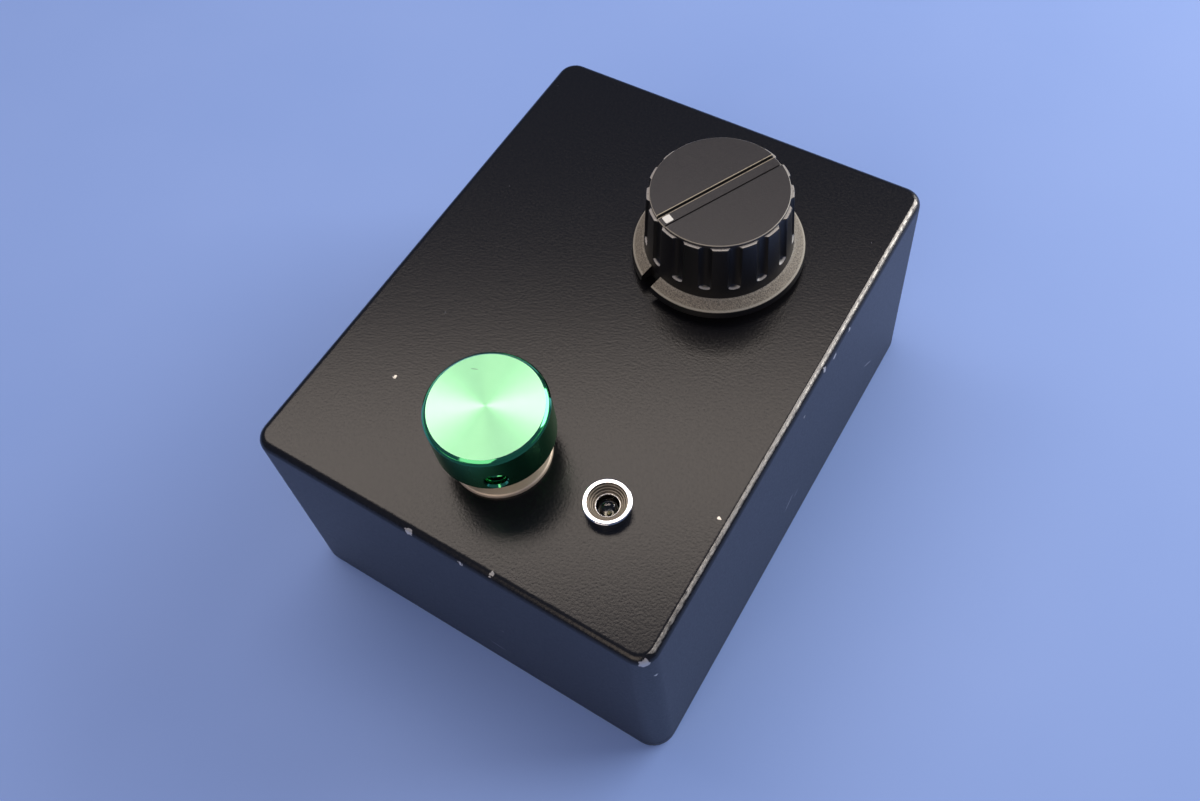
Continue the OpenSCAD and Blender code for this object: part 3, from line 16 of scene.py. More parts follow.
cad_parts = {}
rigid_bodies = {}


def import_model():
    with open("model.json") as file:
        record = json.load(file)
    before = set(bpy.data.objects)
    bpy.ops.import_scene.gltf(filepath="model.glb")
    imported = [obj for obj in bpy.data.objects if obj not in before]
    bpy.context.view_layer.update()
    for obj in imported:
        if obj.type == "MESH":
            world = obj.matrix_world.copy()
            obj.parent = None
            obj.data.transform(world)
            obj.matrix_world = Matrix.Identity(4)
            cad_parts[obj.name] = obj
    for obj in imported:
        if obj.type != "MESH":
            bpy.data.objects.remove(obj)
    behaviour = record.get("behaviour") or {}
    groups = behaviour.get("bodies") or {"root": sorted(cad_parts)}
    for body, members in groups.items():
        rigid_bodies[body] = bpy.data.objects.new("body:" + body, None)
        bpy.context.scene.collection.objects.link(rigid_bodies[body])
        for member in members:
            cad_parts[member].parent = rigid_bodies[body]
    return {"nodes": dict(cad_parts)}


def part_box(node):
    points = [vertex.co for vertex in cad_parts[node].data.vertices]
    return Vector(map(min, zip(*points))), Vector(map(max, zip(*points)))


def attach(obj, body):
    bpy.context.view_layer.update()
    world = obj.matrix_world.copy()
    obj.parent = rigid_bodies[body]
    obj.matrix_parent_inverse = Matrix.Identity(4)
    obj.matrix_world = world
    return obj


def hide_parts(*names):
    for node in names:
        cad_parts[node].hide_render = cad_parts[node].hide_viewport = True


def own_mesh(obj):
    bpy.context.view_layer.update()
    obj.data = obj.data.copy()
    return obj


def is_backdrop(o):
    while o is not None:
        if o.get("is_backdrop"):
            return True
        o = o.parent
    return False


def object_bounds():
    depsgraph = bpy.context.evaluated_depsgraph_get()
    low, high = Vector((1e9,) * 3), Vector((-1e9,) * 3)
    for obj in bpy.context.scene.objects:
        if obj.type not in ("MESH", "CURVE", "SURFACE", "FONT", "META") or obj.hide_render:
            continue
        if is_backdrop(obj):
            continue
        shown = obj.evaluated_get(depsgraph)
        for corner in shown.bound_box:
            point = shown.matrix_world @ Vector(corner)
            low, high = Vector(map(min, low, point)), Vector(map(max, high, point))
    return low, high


for stray in list(bpy.data.objects):
    bpy.data.objects.remove(stray)
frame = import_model()
cad_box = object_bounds()
scene = bpy.context.scene
MM = 0.001

# %% [markdown]
# ## Camera
# The pedal was seen from above its right front corner, with a short lens and the camera leaning a
# little. A camera can be aimed with a constraint, but three plain angles say the view best: how far
# round, how high, and how much it leans.

# %% Camera
AZIMUTH, ELEVATION, LEAN = math.radians(39.675), math.radians(60.071), math.radians(-9.390)
camera = bpy.data.objects.new("camera", bpy.data.cameras.new("camera"))
camera.data.sensor_width = 36
camera.data.lens = 30.934
camera.data.clip_start = 0.01
camera.matrix_world = (
    Matrix.Translation((0.073566, -0.093710, 0.226275))
    @ Matrix.Rotation(AZIMUTH, 4, "Z")
    @ Matrix.Rotation(math.pi / 2 - ELEVATION, 4, "X")
    @ Matrix.Rotation(LEAN, 4, "Z")
)
scene.collection.objects.link(camera)
scene.camera = camera
print("camera's back points along", [round(v, 3) for v in camera.matrix_world.col[2][:3]])

# %% [markdown]
# ## Nodes and colours
# Shader trees and Geometry Nodes trees are both built from nodes, so one small function serves both:
# it adds a node, sets it up, and fills or joins its inputs, by name or in the order the node shows
# them. Colours are written as the eye reads them on a screen, and one function turns them into the
# linear values that light is worked out in.

# %% Helpers for nodes and colours
PREFIXES = ("ShaderNode", "GeometryNode", "FunctionNode", "")


def fill(tree, node, joins):
    """Fills inputs, named or in order, each with a value, a socket or another node's first output."""
    named = isinstance(joins, dict)
    sockets = [node.inputs[name] for name in joins] if named else [s for s in node.inputs if s.enabled]
    for socket, value in zip(sockets, joins.values() if named else joins):
        if isinstance(value, bpy.types.Node):
            value = next(s for s in value.outputs if s.enabled)
        if isinstance(value, bpy.types.NodeSocket):
            tree.links.new(value, socket)
        else:
            socket.default_value = value


def add(tree, kind, joins=(), **settings):
    """Adds one node by the end of its type's name, such as TexNoise, or Math.ADD with its operation."""
    kind, _, operation = kind.partition(".")
    made = tree.nodes.new(next(p + kind for p in PREFIXES if hasattr(bpy.types, p + kind)))
    if operation:
        made.operation = operation
    for key, value in settings.items():
        setattr(made, key, value)
    fill(tree, made, joins)
    return made


def linear(colour):
    """Linear RGBA of an sRGB hex colour."""
    parts = [int(colour[i : i + 2], 16) / 255 for i in (1, 3, 5)]
    return tuple(c / 12.92 if c <= 0.04045 else ((c + 0.055) / 1.055) ** 2.4 for c in parts) + (1.0,)


def start_material(name, colour, metallic, roughness, ior=1.5):
    """A material with its Principled shader set, its tree, and the piece's own coordinates."""
    material = bpy.data.materials.new(name)
    material.use_nodes = True
    tree = material.node_tree
    shader = tree.nodes["Principled BSDF"]
    fill(tree, shader, {
        "Base Color": linear(colour), "Metallic": metallic, "Roughness": roughness, "IOR": ior})
    return material, tree, shader, add(tree, "TexCoord").outputs["Object"]


def per_mm(size):
    """Texture scale that gives a pattern this many millimetres from one feature to the next."""
    return 1 / (size * MM)


print("#808080 is", [round(v, 3) for v in linear("#808080")])

# %% [markdown]
# ## Black enamel
# The box is die-cast aluminium under baked satin enamel. Enamel draws up into a fine orange peel as it
# flows, so reflections break up softly, and the walls caught a drier spray than the panel. Knocks have
# taken it off in chips along the front edge. The right edge is painted pale along its rounded fillet, partly
# rubbed thin and partly a painted highlight, brighter towards the rear. The chips sit at real places, with a
# ragged rim; the pale edge follows the normal, which leans only on the rounded edge.

# %% Black enamel
RAGGED = 1.6 * MM  # how far the noise shakes the rims of the chips
CHIPS = [  # x, y, z and radius in millimetres
    (-27.9, -32.9, 55.0, 0.42), (41.9, -28.1, 55.0, 0.34), (-5.9, -58.0, 54.3, 0.85),
    (5.8, -58.2, 54.0, 0.55), (12.2, -57.1, 54.8, 0.5), (43.4, -57.1, 53.75, 1.05),
    (44.8, -55.8, 45.9, 0.45), (44.6, 14.0, 52.6, 0.8), (44.4, 9.5, 53.6, 0.7), (44.5, 20.5, 53.2, 0.55),
    (44.7, -20.0, 46.0, 0.3), (45.0, 1.1, 48.5, 0.4), (9.8, -59.4, 24.0, 0.35),
]
SCRATCHES = [  # middle in mm, rise and heading in degrees, half length and half width in mm
    ((46.3, -2.9, 16.9), (30, 0), 2.6, 0.32), ((46.4, 0.8, 15.1), (16, 0), 1.2, 0.25),
    ((46.3, 37.9, 16.7), (-40, 0), 4.5, 0.2), ((6.5, -60.1, 9.9), (-8, -90), 2.4, 0.22),
]


def scratch_mask(tree, spots, middle, turn, half_length, half_width):
    """1 on one straight scratch along its own Y axis, and 0 off it."""
    size = (half_width * MM, half_length * MM, half_width * MM)
    lined_up = add(tree, "Mapping", [spots, [v * MM for v in middle], turn, size], vector_type="TEXTURE")
    return add(tree, "MapRange", [add(tree, "VectorMath.LENGTH", [lined_up]), 1.0, 0.6])


def normal_parts(tree):
    """The surface's direction, as its X, Y and Z outputs."""
    return add(tree, "SeparateXYZ", [add(tree, "NewGeometry").outputs["Normal"]]).outputs


def black_enamel():
    """A deep black with a soft sheen, broken up by its peel, pale metal where it has come off, and a pale
    right edge that is partly rubbed and partly painted highlight.
    """
    material, tree, shader, spots = start_material(
        "Satin black enamel on cast aluminium", "#121215", 0.0, 0.22, 1.43)
    peel = add(tree, "TexNoise", [spots, per_mm(1.2), 2.0])
    grit = add(tree, "TexNoise", [spots, per_mm(0.5), 2.0])
    rag = add(tree, "TexNoise", [spots, per_mm(0.7), 3.0])
    shake = add(tree, "VectorMath.SUBTRACT", [rag.outputs["Color"], (0.5, 0.5, 0.5)])
    shaken = add(tree, "VectorMath.MULTIPLY_ADD", [shake, (RAGGED, RAGGED, RAGGED), spots])
    bare_and_edge_highlight = 0.0
    for x, y, z, radius in CHIPS:
        away = add(tree, "VectorMath.DISTANCE", [shaken, (x * MM, y * MM, z * MM)])
        chip = add(tree, "MapRange", [away, radius * MM, 0.85 * radius * MM])
        bare_and_edge_highlight = add(tree, "Math.MAXIMUM", [bare_and_edge_highlight, chip])
    # Rubbed edge and painted highlight: where the rounded upper edge leans to the right it is painted pale,
    # more so towards the rear. The corners are hardly painted: there the normal turns to the front or the
    # rear.
    tilt = normal_parts(tree)
    along = add(tree, "Mapping", {"Vector": spots, "Scale": (1.0, 0.5, 1.0)})
    rubbed_and_highlit = add(tree, "TexNoise", [along, per_mm(0.7), 8.0, 0.9])
    for share in (
        add(tree, "MapRange", [tilt["X"], 0.1, 0.25]),
        add(tree, "MapRange", [tilt["Z"], 0.55, 0.85]),
        add(tree, "MapRange", [add(tree, "SeparateXYZ", [spots]).outputs["Y"], -60 * MM, 0.0, 0.74, 1.0]),
        add(tree, "MapRange", [add(tree, "Math.ABSOLUTE", [tilt["Y"]]), 0.3, 0.12]),
    ):
        rubbed_and_highlit = add(tree, "Math.MULTIPLY", [rubbed_and_highlit, share])
    rubbed_and_highlit = add(tree, "MapRange", [rubbed_and_highlit, 0.3, 0.5, 0.0, 0.75])
    bare_and_edge_highlight = add(tree, "Math.MAXIMUM", [bare_and_edge_highlight, rubbed_and_highlit])
    # Dust: a few pale specks, about one in every 7 mm cell.
    dust = add(tree, "TexVoronoi", [shaken, per_mm(7.0)])
    speck = add(tree, "MapRange", [dust, 0.022, 0.012, 0.0, 0.5])
    for middle, (rise, heading), half_length, half_width in SCRATCHES:
        turn = (math.radians(rise), 0.0, math.radians(heading))
        mark = scratch_mask(tree, spots, middle, turn, half_length, half_width)
        speck = add(tree, "Math.MAXIMUM", [speck, mark])
    coat = add(tree, "Mix", [grit, linear("#0d0d10"), linear("#161619")], data_type="RGBA")
    coat = add(tree, "Mix", [speck, coat, linear("#8f9099")], data_type="RGBA")
    # Chips show bare metal in this pale colour; the right edge takes it too, partly rubbed and partly painted
    # highlight.
    coat = add(tree, "Mix", [bare_and_edge_highlight, coat, linear("#c9c5bd")], data_type="RGBA")
    # Bare metal is dulled by a skin of oxide, so only part of it shines.
    shine = add(tree, "Math.MULTIPLY", [bare_and_edge_highlight, 0.5])
    # The walls' drier spray leaves them duller than the panel.
    dry = add(tree, "MapRange", [tilt["Z"], 0.8, 0.2, 0.0, 0.14])
    gloss = add(tree, "MapRange", [grit, 0.3, 0.7, 0.21, 0.27])
    gloss = add(tree, "Math.ADD", [gloss, dry])
    skin = add(tree, "Bump", {"Height": peel, "Strength": 1.0, "Distance": 0.008 * MM})
    skin = add(tree, "Bump", {"Height": grit, "Strength": 1.0, "Distance": 0.025 * MM, "Normal": skin})
    dent = {"Height": bare_and_edge_highlight, "Strength": 0.5, "Distance": 0.12 * MM, "Normal": skin}
    skin = add(tree, "Bump", dent, invert=True)
    fill(tree, shader, {"Base Color": coat, "Metallic": shine, "Roughness": gloss, "Normal": skin})
    return material


enamel = black_enamel()
print(enamel.name, "with", len(CHIPS), "chips and", len(enamel.node_tree.nodes), "nodes")

# %% [markdown]
# ## Moulded ABS
# The knob is injection-moulded black ABS. Its grip comes out of a polished mould, its skirt out of a
# spark-eroded one, which leaves a matt speckle that scatters light and looks greyer; the skirt's upper side
# is painted pale grey, partly for that speckle and partly as painted light. Fingers have worn the upper ends
# of the lands to a pale grey, and that grey, like the pale flute ledges and skirt edges, is partly wear and
# partly painted highlight. Height and slope tell these places apart.

# %% Moulded ABS
knob_foot, knob_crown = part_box("knob_body")
knob_axis = sum(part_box("knob_cap"), Vector()) / 2


def axis_distance(tree, spots, axis):
    """How far each point stands from an upright axis."""
    flat = add(tree, "VectorMath.MULTIPLY", [spots, (1.0, 1.0, 0.0)])
    return add(tree, "VectorMath.DISTANCE", [flat, (axis.x, axis.y, 0.0)])


def moulded_abs():
    """A dark satin grip, a skirt painted greyer, partly for its matt speckle and partly as painted light, and
    pale places that are partly rubbed and partly painted highlight.
    """
    material, tree, shader, spots = start_material("Black ABS moulding", "#1d1b1a", 0.0, 0.42)
    height = add(tree, "SeparateXYZ", [spots]).outputs["Z"]
    slope = normal_parts(tree)["Z"]
    radius = axis_distance(tree, spots, knob_axis)
    foot, crown = knob_foot.z, knob_crown.z
    speckle = add(tree, "TexNoise", [spots, per_mm(0.26), 2.0])
    speckle = add(tree, "MapRange", [speckle, 0.25, 0.75])
    scuff = add(tree, "TexNoise", [spots, per_mm(0.8), 4.0, 0.65])
    up = add(tree, "MapRange", [slope, 0.25, 0.7])
    low = add(tree, "MapRange", [height, foot + 3.3 * MM, foot + 3.0 * MM])
    skirt = add(tree, "Math.MULTIPLY", [up, low])
    # Fingers rub the upper ends of the lands; their pale grey is also a painted highlight on these up-facing
    # ends.
    rubbed_and_highlit = add(tree, "MapRange", [height, crown - 0.3 * MM, crown - 0.05 * MM])
    for share in (
        add(tree, "MapRange", [scuff, 0.3, 0.42]),
        add(tree, "MapRange", [slope, 0.9, 0.97]),
    ):
        rubbed_and_highlit = add(tree, "Math.MULTIPLY", [rubbed_and_highlit, share])
    # Up-facing ledges at the flutes' lower ends are rubbed too, and painted pale as a highlight.
    ledge = add(tree, "MapRange", [height, foot + 5.2 * MM, foot + 5.5 * MM])
    for share in (
        add(tree, "MapRange", [height, foot + 7 * MM, foot + 6.6 * MM]),
        add(tree, "MapRange", [slope, 0.45, 0.65]),
        add(tree, "MapRange", [radius, 14.35 * MM, 14.6 * MM]),
    ):
        ledge = add(tree, "Math.MULTIPLY", [ledge, share])
    rubbed_and_highlit = add(tree, "Math.MAXIMUM", [rubbed_and_highlit, ledge])
    # Both edges of the skirt's upper side are painted pale: partly burnish, partly painted highlight.
    outer = add(tree, "MapRange", [radius, 16.95 * MM, 17.15 * MM])
    inner = add(tree, "MapRange", [radius, 15.6 * MM, 15.3 * MM, 0.0, 0.7])
    inner = add(tree, "Math.MULTIPLY", [inner, speckle])
    rim_burnish_and_highlight = add(tree, "Math.MAXIMUM", [outer, inner])
    rim_burnish_and_highlight = add(tree, "Math.MULTIPLY", [rim_burnish_and_highlight, skirt])
    grip = add(tree, "Mix", [speckle, linear("#121112"), linear("#1b1a1a")], data_type="RGBA")
    # The skirt's upper side takes a pale grey: partly its matt speckle, partly painted light.
    matt = add(tree, "Mix", [speckle, linear("#544e45"), linear("#a89f8d")], data_type="RGBA")
    coat = add(tree, "Mix", [skirt, grip, matt], data_type="RGBA")
    coat = add(tree, "Mix", [rim_burnish_and_highlight, coat, linear("#aca696")], data_type="RGBA")
    coat = add(tree, "Mix", [rubbed_and_highlit, coat, linear("#b3afa8")], data_type="RGBA")
    gloss = add(tree, "MapRange", {"Value": skirt, "To Min": 0.36, "To Max": 0.62})
    pit = add(tree, "Math.MULTIPLY_ADD", [skirt, 0.85, 0.15])
    grain = add(tree, "Bump", {"Height": speckle, "Strength": pit, "Distance": 0.06 * MM})
    fill(tree, shader, {"Base Color": coat, "Roughness": gloss, "Normal": grain})
    return material


knob_abs = moulded_abs()
print(knob_abs.name, "between", round(knob_foot.z / MM, 2), "and", round(knob_crown.z / MM, 2), "mm")

# %% [markdown]
# ## Anodised and plated metals
# The topper is turned aluminium, dyed green in the anodising bath. A lathe leaves rings too fine to see
# one by one; together they stretch each highlight across them into the bow-tie on the face, which the
# shader's anisotropy gives once its tangent runs round the axis. Chrome is polished, nickel is plated
# over brass, and the plain fasteners are zinc-plated steel.

# %% Anodised and plated metals
WAVE_STEP = 2 * math.pi / 20  # distance between a wave texture's rings at scale 1
topper_axis = sum(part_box("switch_topper"), Vector()) / 2


def turned_metal(name, colour, deep, roughness, stretch, axis, spacing, coat=0.0, scratch=None):
    """Metal turned on a lathe round the given axis, with tool marks this many mm apart."""
    material, tree, shader, spots = start_material(name, colour, 1.0, roughness)
    fill(tree, shader, {
        "Anisotropic": stretch, "Anisotropic Rotation": 0.25, "Coat Weight": coat, "Coat Roughness": 0.3,
        "Tangent": add(tree, "Tangent", direction_type="RADIAL", axis="Z")})
    centred = add(tree, "Mapping", {"Vector": spots, "Location": (-axis.x, -axis.y, 0.0)})
    # Real tool marks are near 0.05 mm apart; they are drawn wider so that a few of them show.
    marks = add(tree, "TexWave", {
        "Vector": centred, "Scale": WAVE_STEP * per_mm(spacing), "Distortion": 0.6, "Detail": 2.0,
        "Detail Scale": 2.0}, wave_type="RINGS", rings_direction="Z")
    cloud = add(tree, "TexNoise", [spots, per_mm(2.4), 3.0])
    tint = add(tree, "Mix", [cloud, linear(deep), linear(colour)], data_type="RGBA")
    if scratch:
        mark = scratch_mask(tree, spots, *scratch)
        tint = add(tree, "Mix", [mark, tint, linear("#2c6b45")], data_type="RGBA")
    gloss = add(tree, "MapRange", {
        "Value": marks, "To Min": roughness - 0.01, "To Max": roughness + 0.01})
    groove = add(tree, "Bump", {"Height": marks, "Strength": 0.02, "Distance": 0.02 * MM})
    fill(tree, shader, {"Base Color": tint, "Roughness": gloss, "Normal": groove})
    return material


def plain_finish(name, colour, deep, metallic, roughness, grain, depth=0.15, coat=0.0):
    """A finish with soft changes of tone and gloss: grain is the size of its texture in mm."""
    material, tree, shader, spots = start_material(name, colour, metallic, roughness)
    fill(tree, shader, {"Coat Weight": coat, "Coat Roughness": 0.06})
    cloud = add(tree, "TexNoise", [spots, per_mm(grain), 4.0])
    tint = add(tree, "Mix", [cloud, linear(deep), linear(colour)], data_type="RGBA")
    gloss = add(tree, "MapRange", {"Value": cloud, "To Min": 0.8 * roughness, "To Max": 1.2 * roughness})
    skin = add(tree, "Bump", {"Height": cloud, "Strength": depth, "Distance": 0.05 * grain * MM})
    fill(tree, shader, {"Base Color": tint, "Roughness": gloss, "Normal": skin})
    return material


FINE_MARKS, COARSE_MARKS = 0.43425, 0.59216  # mm between tool marks
# A short scratch on the face: its middle in mm, its turn, and its half length and half width in mm.
FACE_SCRATCH = ((-5.97, -30.8, 72.3), (0.0, 0.0, math.radians(-68)), 0.8, 0.07)
# The face is painted much paler than the side's green of the same dye, a painted highlight; it is satin, with
# a bright bow-tie.
green_face_painted_glare = turned_metal(
    "Green anodised aluminium, turned", "#abfbc2", "#a3f6ba", 0.46, 0.85, topper_axis, FINE_MARKS, 0.8,
    FACE_SCRATCH)
# The side is a deeper green, with an upright gleam.
green_side = turned_metal(
    "Green anodised aluminium, turned side", "#2c9a58", "#279150", 0.26, 0.5, topper_axis, FINE_MARKS, 0.5)
# A diamond tool leaves the bevel like a mirror, so it shows thin hard lines of light.
green_bevel = plain_finish(
    "Green anodised aluminium, polished", "#3fae74", "#39a66c", 1.0, 0.09, 1.5, 0.02, 1.0)
# The washer's nickel is dull and creamy, with a broad soft gleam; it is painted paler than plain nickel, as
# painted light that lifts it from the topper's shade.
washer_nickel_painted_light = turned_metal(
    "Nickel plate over turned brass", "#f0e2cf", "#d8c7b0", 0.62, 0.4, topper_axis, COARSE_MARKS)
# Nickel shines warm and a little blurred, chrome is a clear mirror, and zinc is greyer and frosted.
nickel = plain_finish("Nickel plate", "#c3bfb8", "#aaa69f", 1.0, 0.26, 0.6, 0.06)
chrome = plain_finish("Polished chrome plate", "#e6e7ea", "#dcdde0", 1.0, 0.07, 0.8, 0.02)
zinc = plain_finish("Zinc plate on steel", "#b4b7bb", "#9a9da3", 1.0, 0.34, 0.5, 0.1)
# Blackened steel keeps only a dark gleam, and brass a yellow one.
black_steel = plain_finish("Blackened steel", "#2b2b2d", "#1d1d1f", 1.0, 0.4, 0.4, 0.15)
brass = plain_finish("Machined brass", "#c9a44c", "#b38d3c", 1.0, 0.28, 0.6, 0.08)
# Tin is pale and slightly clouded, and drawn wire a cooler grey.
tin = plain_finish("Tinned copper", "#cfcdc6", "#b9b6ad", 1.0, 0.32, 0.5, 0.1)
spring_steel = plain_finish("Drawn spring steel", "#a3a5a8", "#8a8c90", 1.0, 0.3, 0.4, 0.08)
print("metals:", green_face_painted_glare.name, "|", washer_nickel_painted_light.name, "|", chrome.name)

# %% [markdown]
# ## Plastics, board and lamp
# The knob's cap is a softer satin than its grip, and its marker is white ABS pressed into the strip.
# The lamp is cast in clear epoxy: light passes in and bends, so it is a shader with full transmission.
# What sits inside the box has its own finishes too, because the library may open the pedal.

# %% Knob cap finish
POINTER = math.radians(-117.5)
STRIP_W = 2.94
# Painted highlight and painted shade lines along the strip's edges.
STRIP_PAINTED_LIGHT_LINES = [  # distance from the strip's middle and half width in mm, colour
    (-STRIP_W / 2 - 0.12, 0.065, "#c8bda3"), (-STRIP_W / 2 + 0.08, 0.13, "#080808"),
    (-STRIP_W / 2 + 0.5, 0.08, "#a89d88"), (STRIP_W / 2 - 0.08, 0.15, "#040404"),
]


def satin_cap():
    """A soft grey-black sheen, with a pale rim that is partly burnish and partly painted highlight, and
    painted highlight and shade lines along the strip.
    """
    material, tree, shader, spots = start_material(
        "Black ABS cap, burnished and painted-light edges", "#242221", 0.0, 0.4, 1.57)
    slope = normal_parts(tree)["Z"]
    grain = add(tree, "TexNoise", [spots, per_mm(0.35), 3.0])
    scuff = add(tree, "TexNoise", [spots, per_mm(1.2), 5.0, 0.7])
    coat = add(tree, "Mix", [grain, linear("#1a1819"), linear("#2f2c2d")], data_type="RGBA")
    # The rim's pale line is partly burnish from handling and partly painted highlight.
    edge = add(tree, "MapRange", [slope, 0.95, 0.8])
    for share in (
        add(tree, "MapRange", [slope, 0.05, 0.35]),
        add(tree, "MapRange", [axis_distance(tree, spots, knob_axis), 13.1 * MM, 13.2 * MM]),
    ):
        edge = add(tree, "Math.MULTIPLY", [edge, share])
    coat = add(tree, "Mix", [edge, coat, linear("#b3ab98")], data_type="RGBA")
    aside = Vector((-math.sin(POINTER), math.cos(POINTER), 0.0))
    across = add(tree, "VectorMath.DOT_PRODUCT", [spots, aside])
    kept = add(tree, "MapRange", [scuff, 0.3, 0.45])
    # Painted lines along the strip: two pale painted highlights by its far edge with painted shade between
    # them, and painted shade at its near edge.
    for middle, half_width, colour in STRIP_PAINTED_LIGHT_LINES:
        gap = add(tree, "Math.SUBTRACT", [across, knob_axis.dot(aside) + middle * MM])
        gap = add(tree, "Math.ABSOLUTE", [gap])
        line = add(tree, "MapRange", [gap, half_width * MM, 0.6 * half_width * MM])
        line = add(tree, "Math.MULTIPLY", [line, kept])
        coat = add(tree, "Mix", [line, coat, linear(colour)], data_type="RGBA")
    gloss = add(tree, "MapRange", {"Value": scuff, "To Min": 0.3, "To Max": 0.5})
    skin = add(tree, "Bump", {"Height": grain, "Strength": 0.8, "Distance": 0.02 * MM})
    fill(tree, shader, {"Base Color": coat, "Roughness": gloss, "Normal": skin})
    return material


cap_abs = satin_cap()
print(cap_abs.name, "with", len(STRIP_PAINTED_LIGHT_LINES), "lines along its strip")

# %% Other plastics
# Moulded plastics: a soft, slightly clouded sheen, and a clearer one on the phenolic pieces.
white_abs = plain_finish("White ABS inlay", "#f4f3ec", "#e6e4da", 0.0, 0.45, 0.4, 0.1)
black_nylon = plain_finish("Black nylon moulding", "#1c1c1e", "#141416", 0.0, 0.48, 0.5, 0.2)
gloss_black = plain_finish("Black phenolic moulding", "#161618", "#101012", 0.0, 0.32, 0.6, 0.1)
blue_plastic = plain_finish("Blue phenolic moulding", "#2f5fa8", "#27528f", 0.0, 0.4, 0.7, 0.1)
natural_nylon = plain_finish("Natural nylon", "#e7e2d3", "#d8d2c0", 0.0, 0.5, 0.8, 0.1)
# Laminate shows its paper as a brown mottle, shrunk sleeve is smooth and tight, and the box is satin.
phenolic = plain_finish("Phenolic paper laminate", "#6b4326", "#553219", 0.0, 0.5, 0.5, 0.15)
sleeve = plain_finish("Heat-shrunk capacitor sleeve", "#22303f", "#1b2733", 0.0, 0.35, 0.8, 0.08)
film_box = plain_finish("Film capacitor box", "#a8332b", "#8f2a23", 0.0, 0.4, 0.6, 0.1)
# Drawn PVC sheath has an even, waxy sheen.
white_wire = plain_finish("White PVC wire sheath", "#d9d4c4", "#c9c3b1", 0.0, 0.45, 0.6, 0.08)
black_wire = plain_finish("Black PVC wire sheath", "#1c1c1e", "#131315", 0.0, 0.45, 0.6, 0.08)
red_wire = plain_finish("Red PVC wire sheath", "#b3281e", "#971f17", 0.0, 0.45, 0.6, 0.08)
# The unlit chip is a dull yellow-green under its phosphor.
phosphor = plain_finish("Lamp chip under phosphor", "#9a9458", "#7f7a40", 0.0, 0.4, 0.1, 0.1)
print("plastics:", white_abs.name, "|", gloss_black.name, "|", red_wire.name)

# %% Epoxy, resistors and board
LACQUER, BODY_L = "#cdb58c", 6.0  # a resistor's ground colour, and its body's length in mm
BANDS = [  # share of the body's length where each colour starts
    (0.2, "#6b3d1e"), (0.27, LACQUER), (0.4, "#1a1a1a"), (0.47, LACQUER),
    (0.56, "#c9571f"), (0.63, LACQUER), (0.78, "#b9932f"), (0.85, LACQUER)]


def clear_epoxy():
    """Clear as water, and bright where its skin, a little dulled by the mould, meets the light."""
    material, tree, shader, spots = start_material("Clear cast epoxy", "#f3f6f4", 0.0, 0.05, 1.54)
    cloud = add(tree, "TexNoise", [spots, per_mm(1.2), 2.0])
    gloss = add(tree, "MapRange", {"Value": cloud, "To Min": 0.02, "To Max": 0.08})
    fill(tree, shader, {"Transmission Weight": 1.0, "Roughness": gloss})
    return material


def banded_resistor():
    """Beige lacquer with four colour bands, set across each body by its place along the board."""
    material, tree, shader, spots = start_material("Lacquered resistor", LACQUER, 0.0, 0.35)
    middle = sum(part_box("resistors"), Vector()).y / 2
    along = add(tree, "SeparateXYZ", [spots]).outputs["Y"]
    share = add(tree, "MapRange", [along, middle - BODY_L / 2 * MM, middle + BODY_L / 2 * MM])
    bands = add(tree, "ValToRGB", [share])
    ramp = bands.color_ramp
    ramp.interpolation = "CONSTANT"
    for place, colour in BANDS[:-1]:
        ramp.elements.new(place).color = linear(colour)
    ramp.elements[0].color = linear(LACQUER)
    ramp.elements[-1].position = BANDS[-1][0]
    ramp.elements[-1].color = linear(LACQUER)
    fill(tree, shader, {"Base Color": bands})
    return material


def solder_mask():
    """Glass-epoxy board under green lacquer, with the copper tracks showing as paler lines."""
    material, tree, shader, spots = start_material("Green lacquered board", "#1f6b3a", 0.0, 0.35)
    tracks = add(tree, "TexBrick", {
        "Vector": spots, "Scale": per_mm(4.0), "Mortar Size": 0.06,
        "Color1": linear("#1b5f33"), "Color2": linear("#1d6637"), "Mortar": linear("#2f8a50")})
    fill(tree, shader, {"Base Color": tracks})
    return material


epoxy, lacquer, board_green = clear_epoxy(), banded_resistor(), solder_mask()
print("clear:", epoxy.name, "board:", board_green.name)

# %% [markdown]
# ## Inside pieces keep their CAD shape
# Terminals, board parts and wires are right as the CAD draws them, so each node only takes a material.
# A table of finishes keeps that in one place.

# %% Materials for the CAD nodes
CAD_FINISHES = {
    zinc: "pot_bush pot_washer pot_nut switch_lock_nut led_nut pot_can",
    brass: "knob_collet collet_nut",
    natural_nylon: "pot_rotor board_pillars",
    phenolic: "pot_wafer",
    tin: "pot_terminals switch_lugs led_leads power_jack_contact input_jack_contacts output_jack_contacts",
    nickel: "pot_shaft",
    blue_plastic: "switch_case",
    black_nylon: "led_clip input_jack_housing output_jack_housing power_jack_nut",
    gloss_black: "amplifier_chip",
    board_green: "circuit_board",
    sleeve: "electrolytic_capacitors",
    film_box: "film_capacitors",
    lacquer: "resistors",
    white_wire: "signal_wires",
    black_wire: "ground_wires",
    red_wire: "supply_wires",
}
for finish, names in CAD_FINISHES.items():
    for name in names.split():
        skin = frame["nodes"][name].data
        skin.materials.clear()
        skin.materials.append(finish)
print("CAD nodes with a finish:", sum(len(names.split()) for names in CAD_FINISHES.values()))

# %% [markdown]
# ## Drawing turned pieces
# Most pieces here are turned or moulded round an axis, so their outline is drawn once and spun. A spin
# modifier would do it too, but a few lines of mesh code keep the pole closed and let each corner have
# its own round, because no real edge is perfectly sharp and the rounds are what catch the light.

